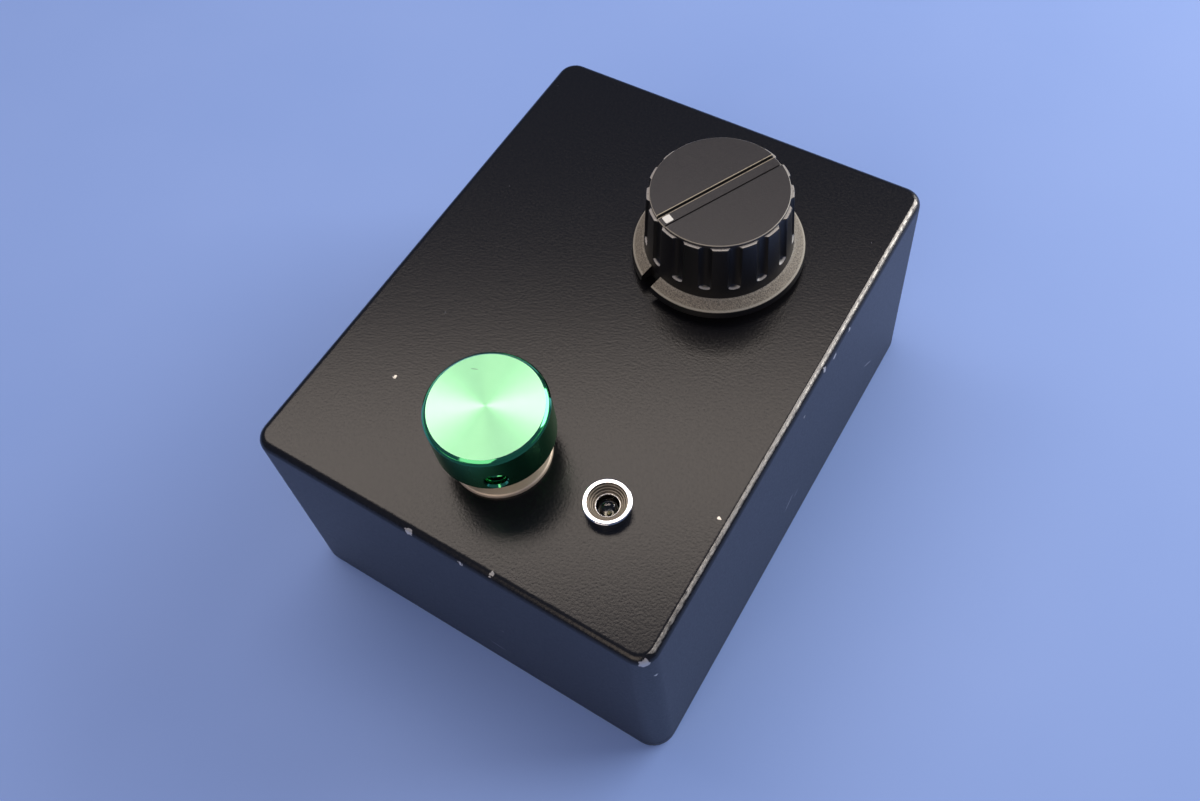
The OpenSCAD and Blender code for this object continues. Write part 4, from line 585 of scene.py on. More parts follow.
# %% Outlines and lathe
def soft_profile(corners, steps=5):
    """Outline from (radius, height) or (radius, height, round) corners in mm, each round a short arc."""
    points = []
    for i, (x, z, *rounding) in enumerate(corners):
        here = Vector((x, z))
        if not any(rounding):
            points.append(here)
            continue
        size = rounding[0]
        back = (Vector(corners[i - 1][:2]) - here).normalized()
        on = (Vector(corners[(i + 1) % len(corners)][:2]) - here).normalized()
        half = back.angle(on) / 2
        centre = here + (back + on).normalized() * size / math.sin(half)
        first = here + back * size / math.tan(half) - centre
        turn = -first.angle_signed(here + on * size / math.tan(half) - centre)
        start = math.atan2(first.y, first.x)
        for k in range(steps + 1):
            a = start + turn * k / steps
            points.append(centre + size * Vector((math.cos(a), math.sin(a))))
    return points


def circle(radius, z, columns):
    """Points round the Z axis."""
    angles = [2 * math.pi * k / columns for k in range(columns)]
    return [(radius * math.cos(a), radius * math.sin(a), z) for a in angles]


def lathe(outline, columns):
    """Vertices and faces of an outline spun round Z. A point on the axis becomes one pole."""
    vertices, rings = [], []
    for x, z in outline:
        loop = circle(x, z, columns) if x > 1e-6 else [(0, 0, z)]
        rings.append(range(len(vertices), len(vertices) + len(loop)))
        vertices += loop
    closed = len(rings[0]) > 1 or len(rings[-1]) > 1
    faces = []
    for low, high in zip(rings, rings[1:] + ([rings[0]] if closed else [])):
        for k in range(columns):
            on = k + 1
            quad = [low[k % len(low)], low[on % len(low)], high[on % len(high)], high[k % len(high)]]
            quad = list(dict.fromkeys(quad))
            if len(quad) > 2:
                faces.append(quad)
    return vertices, faces


def skin_over(loops, closed=False):
    """Vertices and faces over loops of equally many points, capped at both ends or closed in a ring."""
    count, rows = len(loops[0]), len(loops)
    faces = [] if closed else [tuple(range(count)), tuple(range(count * (rows - 1), count * rows))]
    for i in range(rows if closed else rows - 1):
        low, high = i * count, (i + 1) % rows * count
        for k in range(count):
            on = (k + 1) % count
            faces.append((low + k, low + on, high + on, high + k))
    return [point for loop in loops for point in loop], faces


print("a round of 0.5 mm has", len(soft_profile([(0, 0), (2, 0, 0.5), (2, 3)])) - 2, "points")

# %% [markdown]
# ## Finishing pieces
# A drawn piece becomes a mesh object whose place is in its mesh, so that patterns sit still on it. Its
# modifiers are turned into plain mesh. Normals weighted by face area keep flat faces flat beside small
# rounds, which a plain smooth shading would smear.

# %% Making, cutting and seating pieces
def place_at(spot, turn=0.0):
    """Carries a piece drawn in mm round its own axis to its place in metres."""
    return Matrix.Translation(spot) @ Matrix.Rotation(turn, 4, "Z") @ Matrix.Scale(MM, 4)


def make_piece(name, vertices, faces, materials, place=None):
    """A mesh object at the origin, with doubles merged, faces turned outwards and its place in its mesh."""
    mesh = bpy.data.meshes.new(name)
    mesh.from_pydata(vertices, [], faces)
    form = bmesh.new()
    form.from_mesh(mesh)
    bmesh.ops.remove_doubles(form, verts=form.verts, dist=1e-6)
    bmesh.ops.recalc_face_normals(form, faces=form.faces)
    form.to_mesh(mesh)
    form.free()
    if place is not None:
        mesh.transform(place)
    for material in materials:
        mesh.materials.append(material)
    piece = bpy.data.objects.new(name, mesh)
    scene.collection.objects.link(piece)
    return piece


def turned(name, corners, columns, materials, place=None):
    """A piece spun from an outline with its rounds."""
    return make_piece(name, *lathe(soft_profile(corners), columns), materials, place)


def settle(piece):
    """Turns a piece's modifiers into plain mesh."""
    bpy.context.view_layer.update()
    graph = bpy.context.evaluated_depsgraph_get()
    mesh = bpy.data.meshes.new_from_object(piece.evaluated_get(graph), depsgraph=graph)
    piece.modifiers.clear()
    piece.data = mesh
    mesh.name = piece.name


def smooth(piece, angle):
    """Smooth shading up to an angle, with flat faces kept flat by weighting normals with face area."""
    piece.data.shade_smooth()
    piece.data.set_sharp_from_angle(angle=math.radians(angle))
    even = piece.modifiers.new("even", "WEIGHTED_NORMAL")
    even.keep_sharp = True
    even.weight = 100
    settle(piece)


def carve(piece, cutter):
    """Cuts another mesh out of a piece and removes it."""
    cut = piece.modifiers.new("cut", "BOOLEAN")
    cut.operation, cut.solver, cut.object = "DIFFERENCE", "EXACT", cutter
    settle(piece)
    bpy.data.objects.remove(cutter)


def seat(piece, body, slot, *nodes, angle=32):
    """Smooths a piece, which rides on a body and stands for CAD nodes, which it hides. The slot is not used.
    """
    if angle:
        smooth(piece, angle)
    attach(piece, body)
    if nodes:
        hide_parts(*nodes)
    print(piece.name, "rides on", body, "with", len(piece.data.polygons), "faces")


def foot_of(node):
    """Middle of a CAD node's underside."""
    low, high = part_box(node)
    return Vector(((low.x + high.x) / 2, (low.y + high.y) / 2, low.z))


print("the knob stands at", [round(v / MM, 2) for v in foot_of("knob_body")], "mm")

# %% [markdown]
# ## Cast box and lid
# The casting's walls lean in, its upright corners are rounded, and its upper edge has a soft radius.
# The CAD node has all of this, but as loose triangles, which show as flat facets. A merged copy, with
# flat neighbours dissolved into one face and its normals evened out, reflects like a painted casting.
# The upright corners lose less of their round on the way up than a plain taper gives, so they are eased.

# %% Cast box and lid
BOX_W, BOX_L, CORNER_R, EDGE_R, PANEL_Z, DRAFT = 94.0, 121.0, 5.2, 1.8, 55.0, 2.4
KEPT_ROUND = 0.5  # share of the round lost to the draft that the corners keep
SKIN_DEEP = 0.25  # how far inside the corner's round a point still counts as the outer skin, in mm
FLAT_ANGLE = math.radians(0.05)  # neighbours that lie flatter than this become one face


def ease_corner(spot):
    """Draws a point of the outer skin in to the rounder upright corner."""
    taper = spot.z * math.tan(math.radians(DRAFT))
    out = Vector((abs(spot.x) / MM - BOX_W / 2 + CORNER_R, abs(spot.y) / MM - BOX_L / 2 + CORNER_R))
    on_wall = out.length > CORNER_R - taper / MM - SKIN_DEEP
    on_edge = spot.z > (PANEL_Z - EDGE_R - 0.1) * MM
    if (on_wall or on_edge) and min(out) > -0.001:
        way = (out.normalized() - Vector((1, 1))) * KEPT_ROUND * taper
        spot.x += math.copysign(1, spot.x) * way.x
        spot.y += math.copysign(1, spot.y) * way.y


def merged_copy(name, node, materials, ease=None):
    """A copy of a CAD node's mesh with its triangles joined into whole faces."""
    source = frame["nodes"][node].data
    piece = make_piece(
        name, [v.co[:] for v in source.vertices], [p.vertices[:] for p in source.polygons], materials)
    form = bmesh.new()
    form.from_mesh(piece.data)
    if ease:
        for v in form.verts:
            ease(v.co)
    bmesh.ops.dissolve_limit(
        form, angle_limit=FLAT_ANGLE, verts=form.verts, edges=form.edges, use_dissolve_boundaries=False)
    form.to_mesh(piece.data)
    form.free()
    return piece


box_shell = merged_copy("cast_box", "enclosure_body", [enamel], ease_corner)
seat(box_shell, "case", "black_enamel", "enclosure_body")
lid_plate = merged_copy("base_lid", "bottom_lid", [enamel])
seat(lid_plate, "case", "black_enamel", "bottom_lid")

# %% [markdown]
# ## Lid screws
# Four countersunk screws hold the lid. One screw is turned and its cross recess is cut; Geometry Nodes
# then set it on the four corners of a grid, because what repeats is one shape and a rule for its places.

# %% Starting and running Geometry Nodes trees
def start_tree(name, sizes, counts=()):
    """An empty tree with named inputs. Returns it, its input sockets and their identifiers."""
    tree = bpy.data.node_groups.new(name, "GeometryNodeTree")
    kinds = {"Shape": "Geometry"} | dict.fromkeys(sizes, "Float") | dict.fromkeys(counts, "Int")
    keys = {}
    for label, kind in (kinds | {"Finish": "Material"}).items():
        socket = tree.interface.new_socket(label, in_out="INPUT", socket_type="NodeSocket" + kind)
        keys[label] = socket.identifier
    tree.interface.new_socket("Result", in_out="OUTPUT", socket_type="NodeSocketGeometry")
    return tree, add(tree, "NodeGroupInput").outputs, keys


def close_tree(tree, shape, finish):
    """Ends a tree in plain geometry with its material."""
    real = add(tree, "RealizeInstances", [shape])
    painted = add(tree, "SetMaterial", {"Geometry": real, "Material": finish})
    add(tree, "NodeGroupOutput", [painted])


def grow(piece, tree, keys, values):
    """Runs a tree on a piece with its inputs set by identifier, and keeps the plain mesh."""
    run = piece.modifiers.new(tree.name, "NODES")
    run.node_group = tree
    for label, value in values.items():
        run[keys[label]] = value
    settle(piece)
    print(tree.name, "made", len(piece.data.polygons), "faces")


def corner_tree():
    """Sets one shape on the four corners of a grid, each copy at its own angle."""
    tree, value, keys = start_tree("one shape at four corners", ["Width", "Length", "Turn"])
    grid = add(tree, "MeshGrid", [value["Width"], value["Length"], 2, 2])
    # The names Min and Max belong to several inputs, so the two that show are filled in order.
    spin = add(tree, "RandomValue", {"Seed": 3}, data_type="FLOAT")
    fill(tree, spin, [0.0, value["Turn"]])
    lean = add(tree, "CombineXYZ", {"Z": spin})
    copies = add(tree, "InstanceOnPoints", {"Points": grid, "Instance": value["Shape"], "Rotation": lean})
    close_tree(tree, copies, value["Finish"])
    return tree, keys


at_corners = corner_tree()
print(at_corners[0].name, "takes", sorted(at_corners[1]))

# %% Lid screws
SCREW_D, HEAD_D, HEAD_H, SCREW_L, SCREW_TIP = 3.5, 6.6, 1.9, 14.0, 0.6
ARM_L, ARM_W, RECESS_DEEP, RECESS_TAPER = 1.7, 0.4, 1.1, 0.55  # the arms from the recess's middle
screw_low, screw_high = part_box("lid_screws")
lid_screws = turned("lid_screws_set", [
    (0, 0), (HEAD_D / 2, 0, 0.12), (SCREW_D / 2, HEAD_H, 0.25), (SCREW_D / 2, SCREW_L - SCREW_TIP, 0.1),
    (SCREW_D / 2 - SCREW_TIP, SCREW_L), (0, SCREW_L)], 48, [zinc])
recess = [
    (-ARM_L, -ARM_W), (-ARM_W, -ARM_W), (-ARM_W, -ARM_L), (ARM_W, -ARM_L), (ARM_W, -ARM_W),
    (ARM_L, -ARM_W)]
recess += [(-x, -y) for x, y in recess]
cross = make_piece("cross_recess", *skin_over([
    [(x, y, -1.0) for x, y in recess],
    [(RECESS_TAPER * x, RECESS_TAPER * y, RECESS_DEEP) for x, y in recess]]), [zinc])
carve(lid_screws, cross)
grow(lid_screws, *at_corners, {
    "Width": (screw_high.x - screw_low.x) / MM - HEAD_D, "Length": (screw_high.y - screw_low.y) / MM - HEAD_D,
    "Turn": 1.5, "Finish": zinc})
lid_screws.data.transform(place_at((0, 0, screw_low.z)))
seat(lid_screws, "case", "steel_screw", "lid_screws")

# %% [markdown]
# ## Level knob
# The knob is one moulding: a skirt with an index notch, a grip with sixteen flutes, and a hollow
# underside with a hub. Cutting flutes with booleans leaves hard seams. Here the plain turned form is
# drawn first, and a Geometry Nodes tree pushes its points in to the flutes' round floor, with a smooth
# minimum that rounds the lands' edges as a mould does.

# %% Level knob: turned form with its notch
FLUTES, FLUTE_D, FLUTE_DEPTH, FLUTE_END = 16, 3.1, 0.76, 5.4
SKIRT_R, GRIP_BASE_R, GRIP_TOP_R, GRIP_FOOT, GRIP_H = 17.7, 15.05, 14.1, 3.1, 16.7
HOLLOW_R, HOLLOW_H, SPIGOT_BORE_R, SPIGOT_SEAT = 11.6, 11.6, 12.3, 14.2
HUB_R, HUB_FOOT, NUT_R, NUT_SEAT, COLLET_R, TAPER_R = 7.7, 4.9, 6.07, 11.5, 4.25, 5.45
NOTCH_W, NOTCH_AT_R = 3.3, 16.4
COLUMNS = FLUTES * 48


def knob_outline():
    """Closed outline of the knob, with extra rows where the flutes run out."""
    points = soft_profile([
        (HOLLOW_R, 0), (SKIRT_R, 0, 0.15), (SKIRT_R - 0.3, 1.6, 0.35), (GRIP_BASE_R, GRIP_FOOT, 0.25),
        (GRIP_TOP_R, GRIP_H, 0.18), (SPIGOT_BORE_R, GRIP_H, 0.1), (SPIGOT_BORE_R, SPIGOT_SEAT),
        (NUT_R, SPIGOT_SEAT), (NUT_R, NUT_SEAT), (COLLET_R, NUT_SEAT), (COLLET_R, 7.3), (TAPER_R, 5.7),
        (TAPER_R, HUB_FOOT), (HUB_R, HUB_FOOT, 0.2), (HUB_R, HOLLOW_H), (HOLLOW_R, HOLLOW_H, 0.3)])
    heights = [3.9, 4.8] + [FLUTE_END + rise for rise in (
        0.05, 0.1, 0.14, 0.16, 0.18, 0.2, 0.23, 0.27, 0.32, 0.38, 0.45, 0.53, 0.62, 0.73, 0.86, 1.0)]
    heights += [9, 11, 13, 15, 16]
    taper = (GRIP_TOP_R - GRIP_BASE_R) / (GRIP_H - GRIP_FOOT)
    rows = [Vector((GRIP_BASE_R + taper * (z - GRIP_FOOT), z)) for z in heights]
    after = next(i for i, p in enumerate(points) if p.y > 10)
    return points[:after] + rows + points[after:]


def cut_notch(vertices, columns):
    """Draws the skirt in to the grip between two parallel sides, at the pointer's end."""
    edge = int(math.asin(NOTCH_W / 2 / NOTCH_AT_R) / (2 * math.pi / columns))
    for i, (x, y, z) in enumerate(vertices):
        k = (i % columns + columns // 2) % columns - columns // 2
        radius = math.hypot(x, y)
        if z > GRIP_FOOT + 0.2 or radius < GRIP_BASE_R or abs(k) > edge + 1:
            continue
        side = math.copysign(NOTCH_W / 2, k)
        if abs(k) == edge + 1:
            vertices[i] = (math.sqrt(radius**2 - side**2), side, z)
        elif abs(k) == edge:
            side *= 0.99  # a hair narrower at the bottom, for the mould's draft
            vertices[i] = (math.sqrt(GRIP_BASE_R**2 - side**2), side, z)
        else:
            vertices[i] = (x * GRIP_BASE_R / radius, y * GRIP_BASE_R / radius, z)


knob_vertices, knob_faces = lathe(knob_outline(), COLUMNS)
cut_notch(knob_vertices, COLUMNS)
knob = make_piece("knob_grip", knob_vertices, knob_faces, [knob_abs])
knob_place = place_at((knob_axis.x, knob_axis.y, knob_foot.z), POINTER)
print("turned knob:", len(knob_vertices), "points,", COLUMNS, "columns")

# %% Level knob: flutes by Geometry Nodes
FAR_OUT = 100.0  # mm


def polar(tree):
    """Each point's height, distance from the axis and angle round it, and its flat vector from it."""
    spot = add(tree, "SeparateXYZ", [add(tree, "InputPosition")]).outputs
    flat = add(tree, "CombineXYZ", [spot["X"], spot["Y"]])
    angle = add(tree, "Math.ARCTAN2", [spot["Y"], spot["X"]])
    return spot["Z"], add(tree, "VectorMath.LENGTH", [flat]), angle, flat


def draw_in(tree, value, height, radius, flat, drawn):
    """Ends a tree by moving each point from its distance from the axis to a new one."""
    scale = add(tree, "Math.DIVIDE", [drawn, radius])
    sideways = add(tree, "VectorMath.SCALE", [flat, scale])
    lift = add(tree, "CombineXYZ", {"Z": height})
    place = add(tree, "VectorMath.ADD", [sideways, lift])
    shaped = add(tree, "SetPosition", {"Geometry": value["Shape"], "Position": place})
    close_tree(tree, shaped, value["Finish"])


def flute_tree():
    """Draws the points of a grip in to the round floors of its flutes."""
    tree, value, keys = start_tree("flutes round a grip", [
        "Flutes", "Depth", "Flute radius", "Core radius", "Lower end", "End height", "Edge round"])
    height, radius, angle, flat = polar(tree)
    # Angle from the middle of the nearest flute.
    pitch = add(tree, "Math.DIVIDE", [2 * math.pi, value["Flutes"]])
    shifted = add(tree, "Math.MULTIPLY_ADD", [pitch, 0.5, angle])
    within = add(tree, "Math.FLOORED_MODULO", [shifted, pitch])
    off = add(tree, "Math.MULTIPLY_ADD", [pitch, -0.5, within])
    # Near wall of the flute's round floor, along the ray at that angle. It follows the grip's taper.
    floor = add(tree, "Math.SUBTRACT", [radius, value["Depth"]])
    middle = add(tree, "Math.ADD", [floor, value["Flute radius"]])
    across = add(tree, "Math.MULTIPLY", [middle, add(tree, "Math.SINE", [off])])
    along = add(tree, "Math.MULTIPLY", [middle, add(tree, "Math.COSINE", [off])])
    square = add(tree, "Math.POWER", [value["Flute radius"], 2.0])
    spent = add(tree, "Math.MULTIPLY", [across, across])
    room = add(tree, "Math.SUBTRACT", [square, spent])
    # The lower end is a flattened ball, so the flute narrows below the ball's middle.
    ball = add(tree, "Math.ADD", [value["Lower end"], value["End height"]])
    under = add(tree, "Math.SUBTRACT", [ball, height])
    under = add(tree, "Math.MAXIMUM", [under, 0.0])
    flatter = add(tree, "Math.DIVIDE", [value["Flute radius"], value["End height"]])
    under = add(tree, "Math.MULTIPLY", [under, flatter])
    under = add(tree, "Math.MULTIPLY", [under, under])
    room = add(tree, "Math.SUBTRACT", [room, under])
    reach = add(tree, "Math.SQRT", [add(tree, "Math.MAXIMUM", [room, 0.0])])
    wall = add(tree, "Math.SUBTRACT", [along, reach])
    # Beside a flute the wall is set far out, so the smooth minimum keeps the land.
    outside = add(tree, "Math.LESS_THAN", [room, 0.0])
    wall = add(tree, "Math.MULTIPLY_ADD", [outside, FAR_OUT, wall])
    cut = add(tree, "Math.SMOOTH_MIN", [radius, wall, value["Edge round"]])
    above = add(tree, "Math.GREATER_THAN", [height, value["Lower end"]])
    outer = add(tree, "Math.GREATER_THAN", [radius, value["Core radius"]])
    fluted = add(tree, "Math.MULTIPLY", [above, outer])
    step = add(tree, "Math.SUBTRACT", [cut, radius])
    drawn = add(tree, "Math.MULTIPLY_ADD", [step, fluted, radius])
    draw_in(tree, value, height, radius, flat, drawn)
    return tree, keys


grow(knob, *flute_tree(), {
    "Flutes": float(FLUTES), "Depth": FLUTE_DEPTH, "Flute radius": FLUTE_D / 2, "Core radius": 13.0,
    "Lower end": FLUTE_END, "End height": 0.8, "Edge round": 0.08, "Finish": knob_abs})
knob.data.transform(knob_place)
seat(knob, "level_knob", "black_abs", "knob_body", angle=40)

# %% Level knob: ribs in the hollow underside by Geometry Nodes
RIB_T, RIB_LOW, RIB_HIGH, RIB_IN, RIB_OUT = 1.2, 5.9, 11.75, 7.6, 11.75


def ring_tree():
    """Sets copies of one shape evenly round the Z axis."""
    tree, value, keys = start_tree("one shape round an axis", ["First angle"], ["Count"])
    points = add(tree, "Points", {"Count": value["Count"]})
    pitch = add(tree, "Math.DIVIDE", [2 * math.pi, value["Count"]])
    angle = add(tree, "Math.MULTIPLY_ADD", [add(tree, "InputIndex"), pitch, value["First angle"]])
    turn = add(tree, "CombineXYZ", {"Z": angle})
    copies = add(tree, "InstanceOnPoints", {"Points": points, "Instance": value["Shape"], "Rotation": turn})
    close_tree(tree, copies, value["Finish"])
    return tree, keys


rib_end = soft_profile([
    (-RIB_T / 2, RIB_HIGH), (-RIB_T / 2, RIB_LOW, 0.25), (RIB_T / 2, RIB_LOW, 0.25), (RIB_T / 2, RIB_HIGH)])
ribs = make_piece(
    "knob_ribs", *skin_over([[(x, y, z) for y, z in rib_end] for x in (RIB_IN, RIB_OUT)]), [knob_abs])
grow(ribs, *ring_tree(), {"Count": 4, "First angle": math.pi / 4, "Finish": knob_abs})
ribs.data.transform(knob_place)
seat(ribs, "level_knob", "black_abs", "knob_body")

# %% [markdown]
# ## Knob cap and marker
# A satin cap closes the grip. A shallow strip runs right across it, with a white square at the pointer's
# end. The disc is turned, sliced along the strip's edges, and the slice between them is lowered; six
# slices a side give it a fine groove and a rounded lip, which catch light beside it. Painted highlight
# and shade lines along the strip's edges add to them, and its rim is painted pale, partly burnish and
# partly painted highlight.

# %% Knob cap and marker
STRIP_DEPTH, MARKER_W, MARKER_R = 0.35, 1.75, 11.8
SPIGOT_R, SPIGOT_H, CAP_R, CAP_T = 12.2, 2.4, 13.45, 0.75
LIPS = [  # distance past the strip's edge in mm, share of the strip's depth: a groove, then a rounded lip
    (-0.42, 1.0), (-0.3, 1.8), (-0.1, 1.8), (0.02, 0.9), (0.08, 0.15), (0.16, 0.0)]


def rounded_square(side, low, high, round_r, bevel):
    """A square block with rounded corners and a small bevel round its top."""
    loop = []
    for quarter, (sx, sy) in enumerate(((1, 1), (-1, 1), (-1, -1), (1, -1))):
        for k in range(6):
            a = math.pi / 2 * (quarter + k / 5)
            middle = side / 2 - round_r
            loop.append((sx * middle + round_r * math.cos(a), sy * middle + round_r * math.sin(a)))
    inner = 1 - 2 * bevel / side
    levels = ((1, low), (1, high - bevel), (inner, high))
    return skin_over([[(x * share, y * share, z) for x, y in loop] for share, z in levels])


cap_place = place_at((knob_axis.x, knob_axis.y, foot_of("knob_cap").z), POINTER)
cap_top = SPIGOT_H + CAP_T
cap = turned("knob_cap_disc", [
    (0, 0), (SPIGOT_R, 0, 0.2), (SPIGOT_R, SPIGOT_H), (CAP_R, SPIGOT_H), (CAP_R, cap_top, 0.22),
    (0, cap_top)], 192, [cap_abs])
form = bmesh.new()
form.from_mesh(cap.data)
for past, _ in LIPS:
    for side in (-1, 1):
        bmesh.ops.bisect_plane(
            form, geom=form.verts[:] + form.edges[:] + form.faces[:], dist=1e-5,
            plane_co=(0, side * (STRIP_W / 2 + past), 0), plane_no=(0, 1, 0))
for v in form.verts:
    if v.co.z > SPIGOT_H + 0.1:
        past = abs(v.co.y) - STRIP_W / 2
        v.co.z -= STRIP_DEPTH * np.interp(past, [p for p, _ in LIPS], [share for _, share in LIPS])
form.to_mesh(cap.data)
form.free()
pocket_floor = cap_top - STRIP_DEPTH - 0.3
pocket = make_piece(
    "pocket", *rounded_square(MARKER_W, pocket_floor, cap_top + 1, 0.28, 0.01), [cap_abs],
    Matrix.Translation((MARKER_R, 0, 0)))
carve(cap, pocket)
cap.data.transform(cap_place)
seat(cap, "level_knob", "black_abs", "knob_cap")
marker = make_piece(
    "knob_marker_square",
    *rounded_square(MARKER_W - 0.06, pocket_floor, cap_top - STRIP_DEPTH + 0.05, 0.25, 0.05), [white_abs],
    cap_place @ Matrix.Translation((MARKER_R, 0, 0)))
seat(marker, "level_knob", "white_inlay", "knob_marker")

# %% [markdown]
# ## Footswitch topper
# The green topper is turned from bar: a flat face, a polished double bevel, straight sides and a tapped
# hole for the grub screw that pins it to the plunger. The tapped hole is cut with a toothed cutter, so
# the thread shows at its lip.

# %% Footswitch topper
TOPPER_R, TOPPER_H, BEVEL_H = 11.45, 9.7, 0.72
BEVEL = [  # inwards and down from the upper corner, in mm: a steep facet, a groove, a flatter facet, the face
    (0.0, BEVEL_H, 0.07), (0.3, 0.36, 0), (0.36, 0.39, 0), (0.41, 0.33, 0), (0.83, 0.02, 0), (0.87, 0.0, 0)]
PLUNGER_R, PLUNGER_DEEP = 4.05, 7.0
GRUB_D, GRUB_Z, GRUB_ANGLE, GRUB_PITCH = 4.0, 2.7, math.radians(-52), 0.7
TAP_FROM, TAP_TO, SINK_R, TAP_END = 4.5, 10.5, GRUB_D / 2 + 0.75, 14
topper = turned("footswitch_topper", [
    (0, PLUNGER_DEEP), (PLUNGER_R, PLUNGER_DEEP), (PLUNGER_R, 0, 0.2), (TOPPER_R, 0, 0.25),
    *[(TOPPER_R - inward, TOPPER_H - down, size) for inward, down, size in BEVEL], (0, TOPPER_H)], 192,
    [green_side, green_bevel, green_face_painted_glare])
teeth = [(0, TAP_FROM)]
for k in range(8):
    root, crest = TAP_FROM + GRUB_PITCH * k, TAP_FROM + GRUB_PITCH * (k + 0.5)
    teeth += [(GRUB_D / 2 + 0.22, root), (GRUB_D / 2 - 0.1, crest)]
teeth += [
    (GRUB_D / 2 - 0.1, TAP_TO), (GRUB_D / 2, TAP_TO + 0.5), (SINK_R, TAP_TO + 1.25), (SINK_R, TAP_END),
    (0, TAP_END)]
along_grub = Matrix.Rotation(GRUB_ANGLE, 4, "Z") @ Matrix.Translation((0, 0, GRUB_Z))
along_grub = along_grub @ Matrix.Rotation(math.pi / 2, 4, "Y")
carve(topper, turned("tap", teeth, 48, [green_bevel], along_grub))
# The tapped hole and the bevels are bright, the face is satin, and the rest is the turned side.
for face in topper.data.polygons:
    height, tilt, radius = face.center.z, face.normal.z, math.hypot(*face.center[:2])
    tapped = abs(height - GRUB_Z) < 2.4 and PLUNGER_R + 0.2 < radius < TOPPER_R - 0.1
    bevelled = height > TOPPER_H - BEVEL_H - 0.05 and tilt > 0.1
    face.material_index = 1 if tapped else 0 if not bevelled else 2 if tilt > 0.97 else 1
topper_place = place_at(foot_of("switch_topper"))
topper.data.transform(topper_place)
seat(topper, "footswitch_button", "green_anodised", "switch_topper", angle=25)

# %% Grub screw
GRUB_R, GRUB_L, POINT_R, POINT_H, END_R, END_H = GRUB_D / 2 - 0.15, 5.0, 1.2, 0.6, 1.7, 0.25
HEX_R, HEX_DEEP = 1.155, 2.0  # a 2 mm key across its corners, halved, and how far it goes in
grub = turned("grub_screw", [
    (0, 0), (POINT_R, 0, 0.1), (GRUB_R, POINT_H, 0.1), (GRUB_R, GRUB_L - END_H, 0.1), (END_R, GRUB_L),
    (0, GRUB_L)], 48, [black_steel])
hex_floor, hex_top = GRUB_L - HEX_DEEP, GRUB_L + 1
hex_hole = [(0, hex_floor), (HEX_R, hex_floor), (HEX_R, hex_top), (0, hex_top)]
carve(grub, turned("socket", hex_hole, 6, [black_steel]))
grub.data.transform(topper_place @ along_grub @ Matrix.Translation((0, 0, PLUNGER_R + 0.05)))
seat(grub, "footswitch_button", "black_steel", "topper_grub_screw")

# %% [markdown]
# ## Threads and nuts
# A thread is a ramp wound round a rod, so a Geometry Nodes tree can cut it: each point moves in by a
# saw-tooth of its height less its angle. The bushes are turned with plenty of rows for that. A hex nut
# is a six-sided bar whose corners a cone has taken off, and both shapes are one formula each.

# %% Threads by Geometry Nodes
ROWS_A_TURN, THREAD_DEPTH, TIP, BORE_LEAD = 8, 0.54, 0.35, 0.3  # the depth is a share of the pitch


def thread_tree():
    """Draws the points of a bush in by a saw-tooth that winds round it."""
    tree, value, keys = start_tree("thread on a bush", ["Pitch", "Depth", "Lower end", "Upper end", "Root"])
    height, radius, angle, flat = polar(tree)
    turn = add(tree, "Math.DIVIDE", [angle, 2 * math.pi])
    rise = add(tree, "Math.DIVIDE", [height, value["Pitch"]])
    saw = add(tree, "Math.PINGPONG", [add(tree, "Math.SUBTRACT", [rise, turn]), 0.5])
    full = add(tree, "Math.ADD", [value["Lower end"], value["Pitch"]])
    fade = add(tree, "Math.SUBTRACT", [value["Upper end"], value["Depth"]])
    cut = add(tree, "Math.MULTIPLY", [saw, value["Depth"]])
    for share in (
        add(tree, "MapRange", [height, value["Lower end"], full]),
        add(tree, "MapRange", [height, value["Upper end"], fade]),
        add(tree, "Math.GREATER_THAN", [radius, value["Root"]]),
    ):
        cut = add(tree, "Math.MULTIPLY", [cut, share])
    drawn = add(tree, "Math.MULTIPLY_ADD", [cut, -2.0, radius])
    draw_in(tree, value, height, radius, flat, drawn)
    return tree, keys


thread = thread_tree()


def threaded_bush(name, thread_r, bore_r, low, high, pitch, place, finish, from_z):
    """A bored bush between two heights, threaded from from_z to its outer end."""
    rows = int((high - from_z) / pitch * ROWS_A_TURN)
    length = high - TIP - from_z
    bush = turned(name, [
        (bore_r, low), (thread_r, low), (thread_r, low + 0.01),
        *[(thread_r, from_z + length * k / rows) for k in range(rows + 1)],
        (thread_r - TIP, high, 0.1), (bore_r + BORE_LEAD, high, 0.1), (bore_r, high - BORE_LEAD)],
        96, [finish])
    grow(bush, *thread, {
        "Pitch": pitch, "Depth": THREAD_DEPTH * pitch, "Lower end": from_z, "Upper end": high - 0.2,
        "Root": thread_r - 0.02, "Finish": finish})
    bush.data.transform(place)
    return bush


print(thread[0].name, "takes", sorted(thread[1]))

# %% Hex nuts
NUT_COLUMNS, CONE_SLOPE = 144, math.tan(math.radians(30))
CONE_START = 0.985  # where the cone meets the end face, as a share of the flats
ROW_REACH = 1.15  # rows reach a little past the height at which the cone leaves the corners


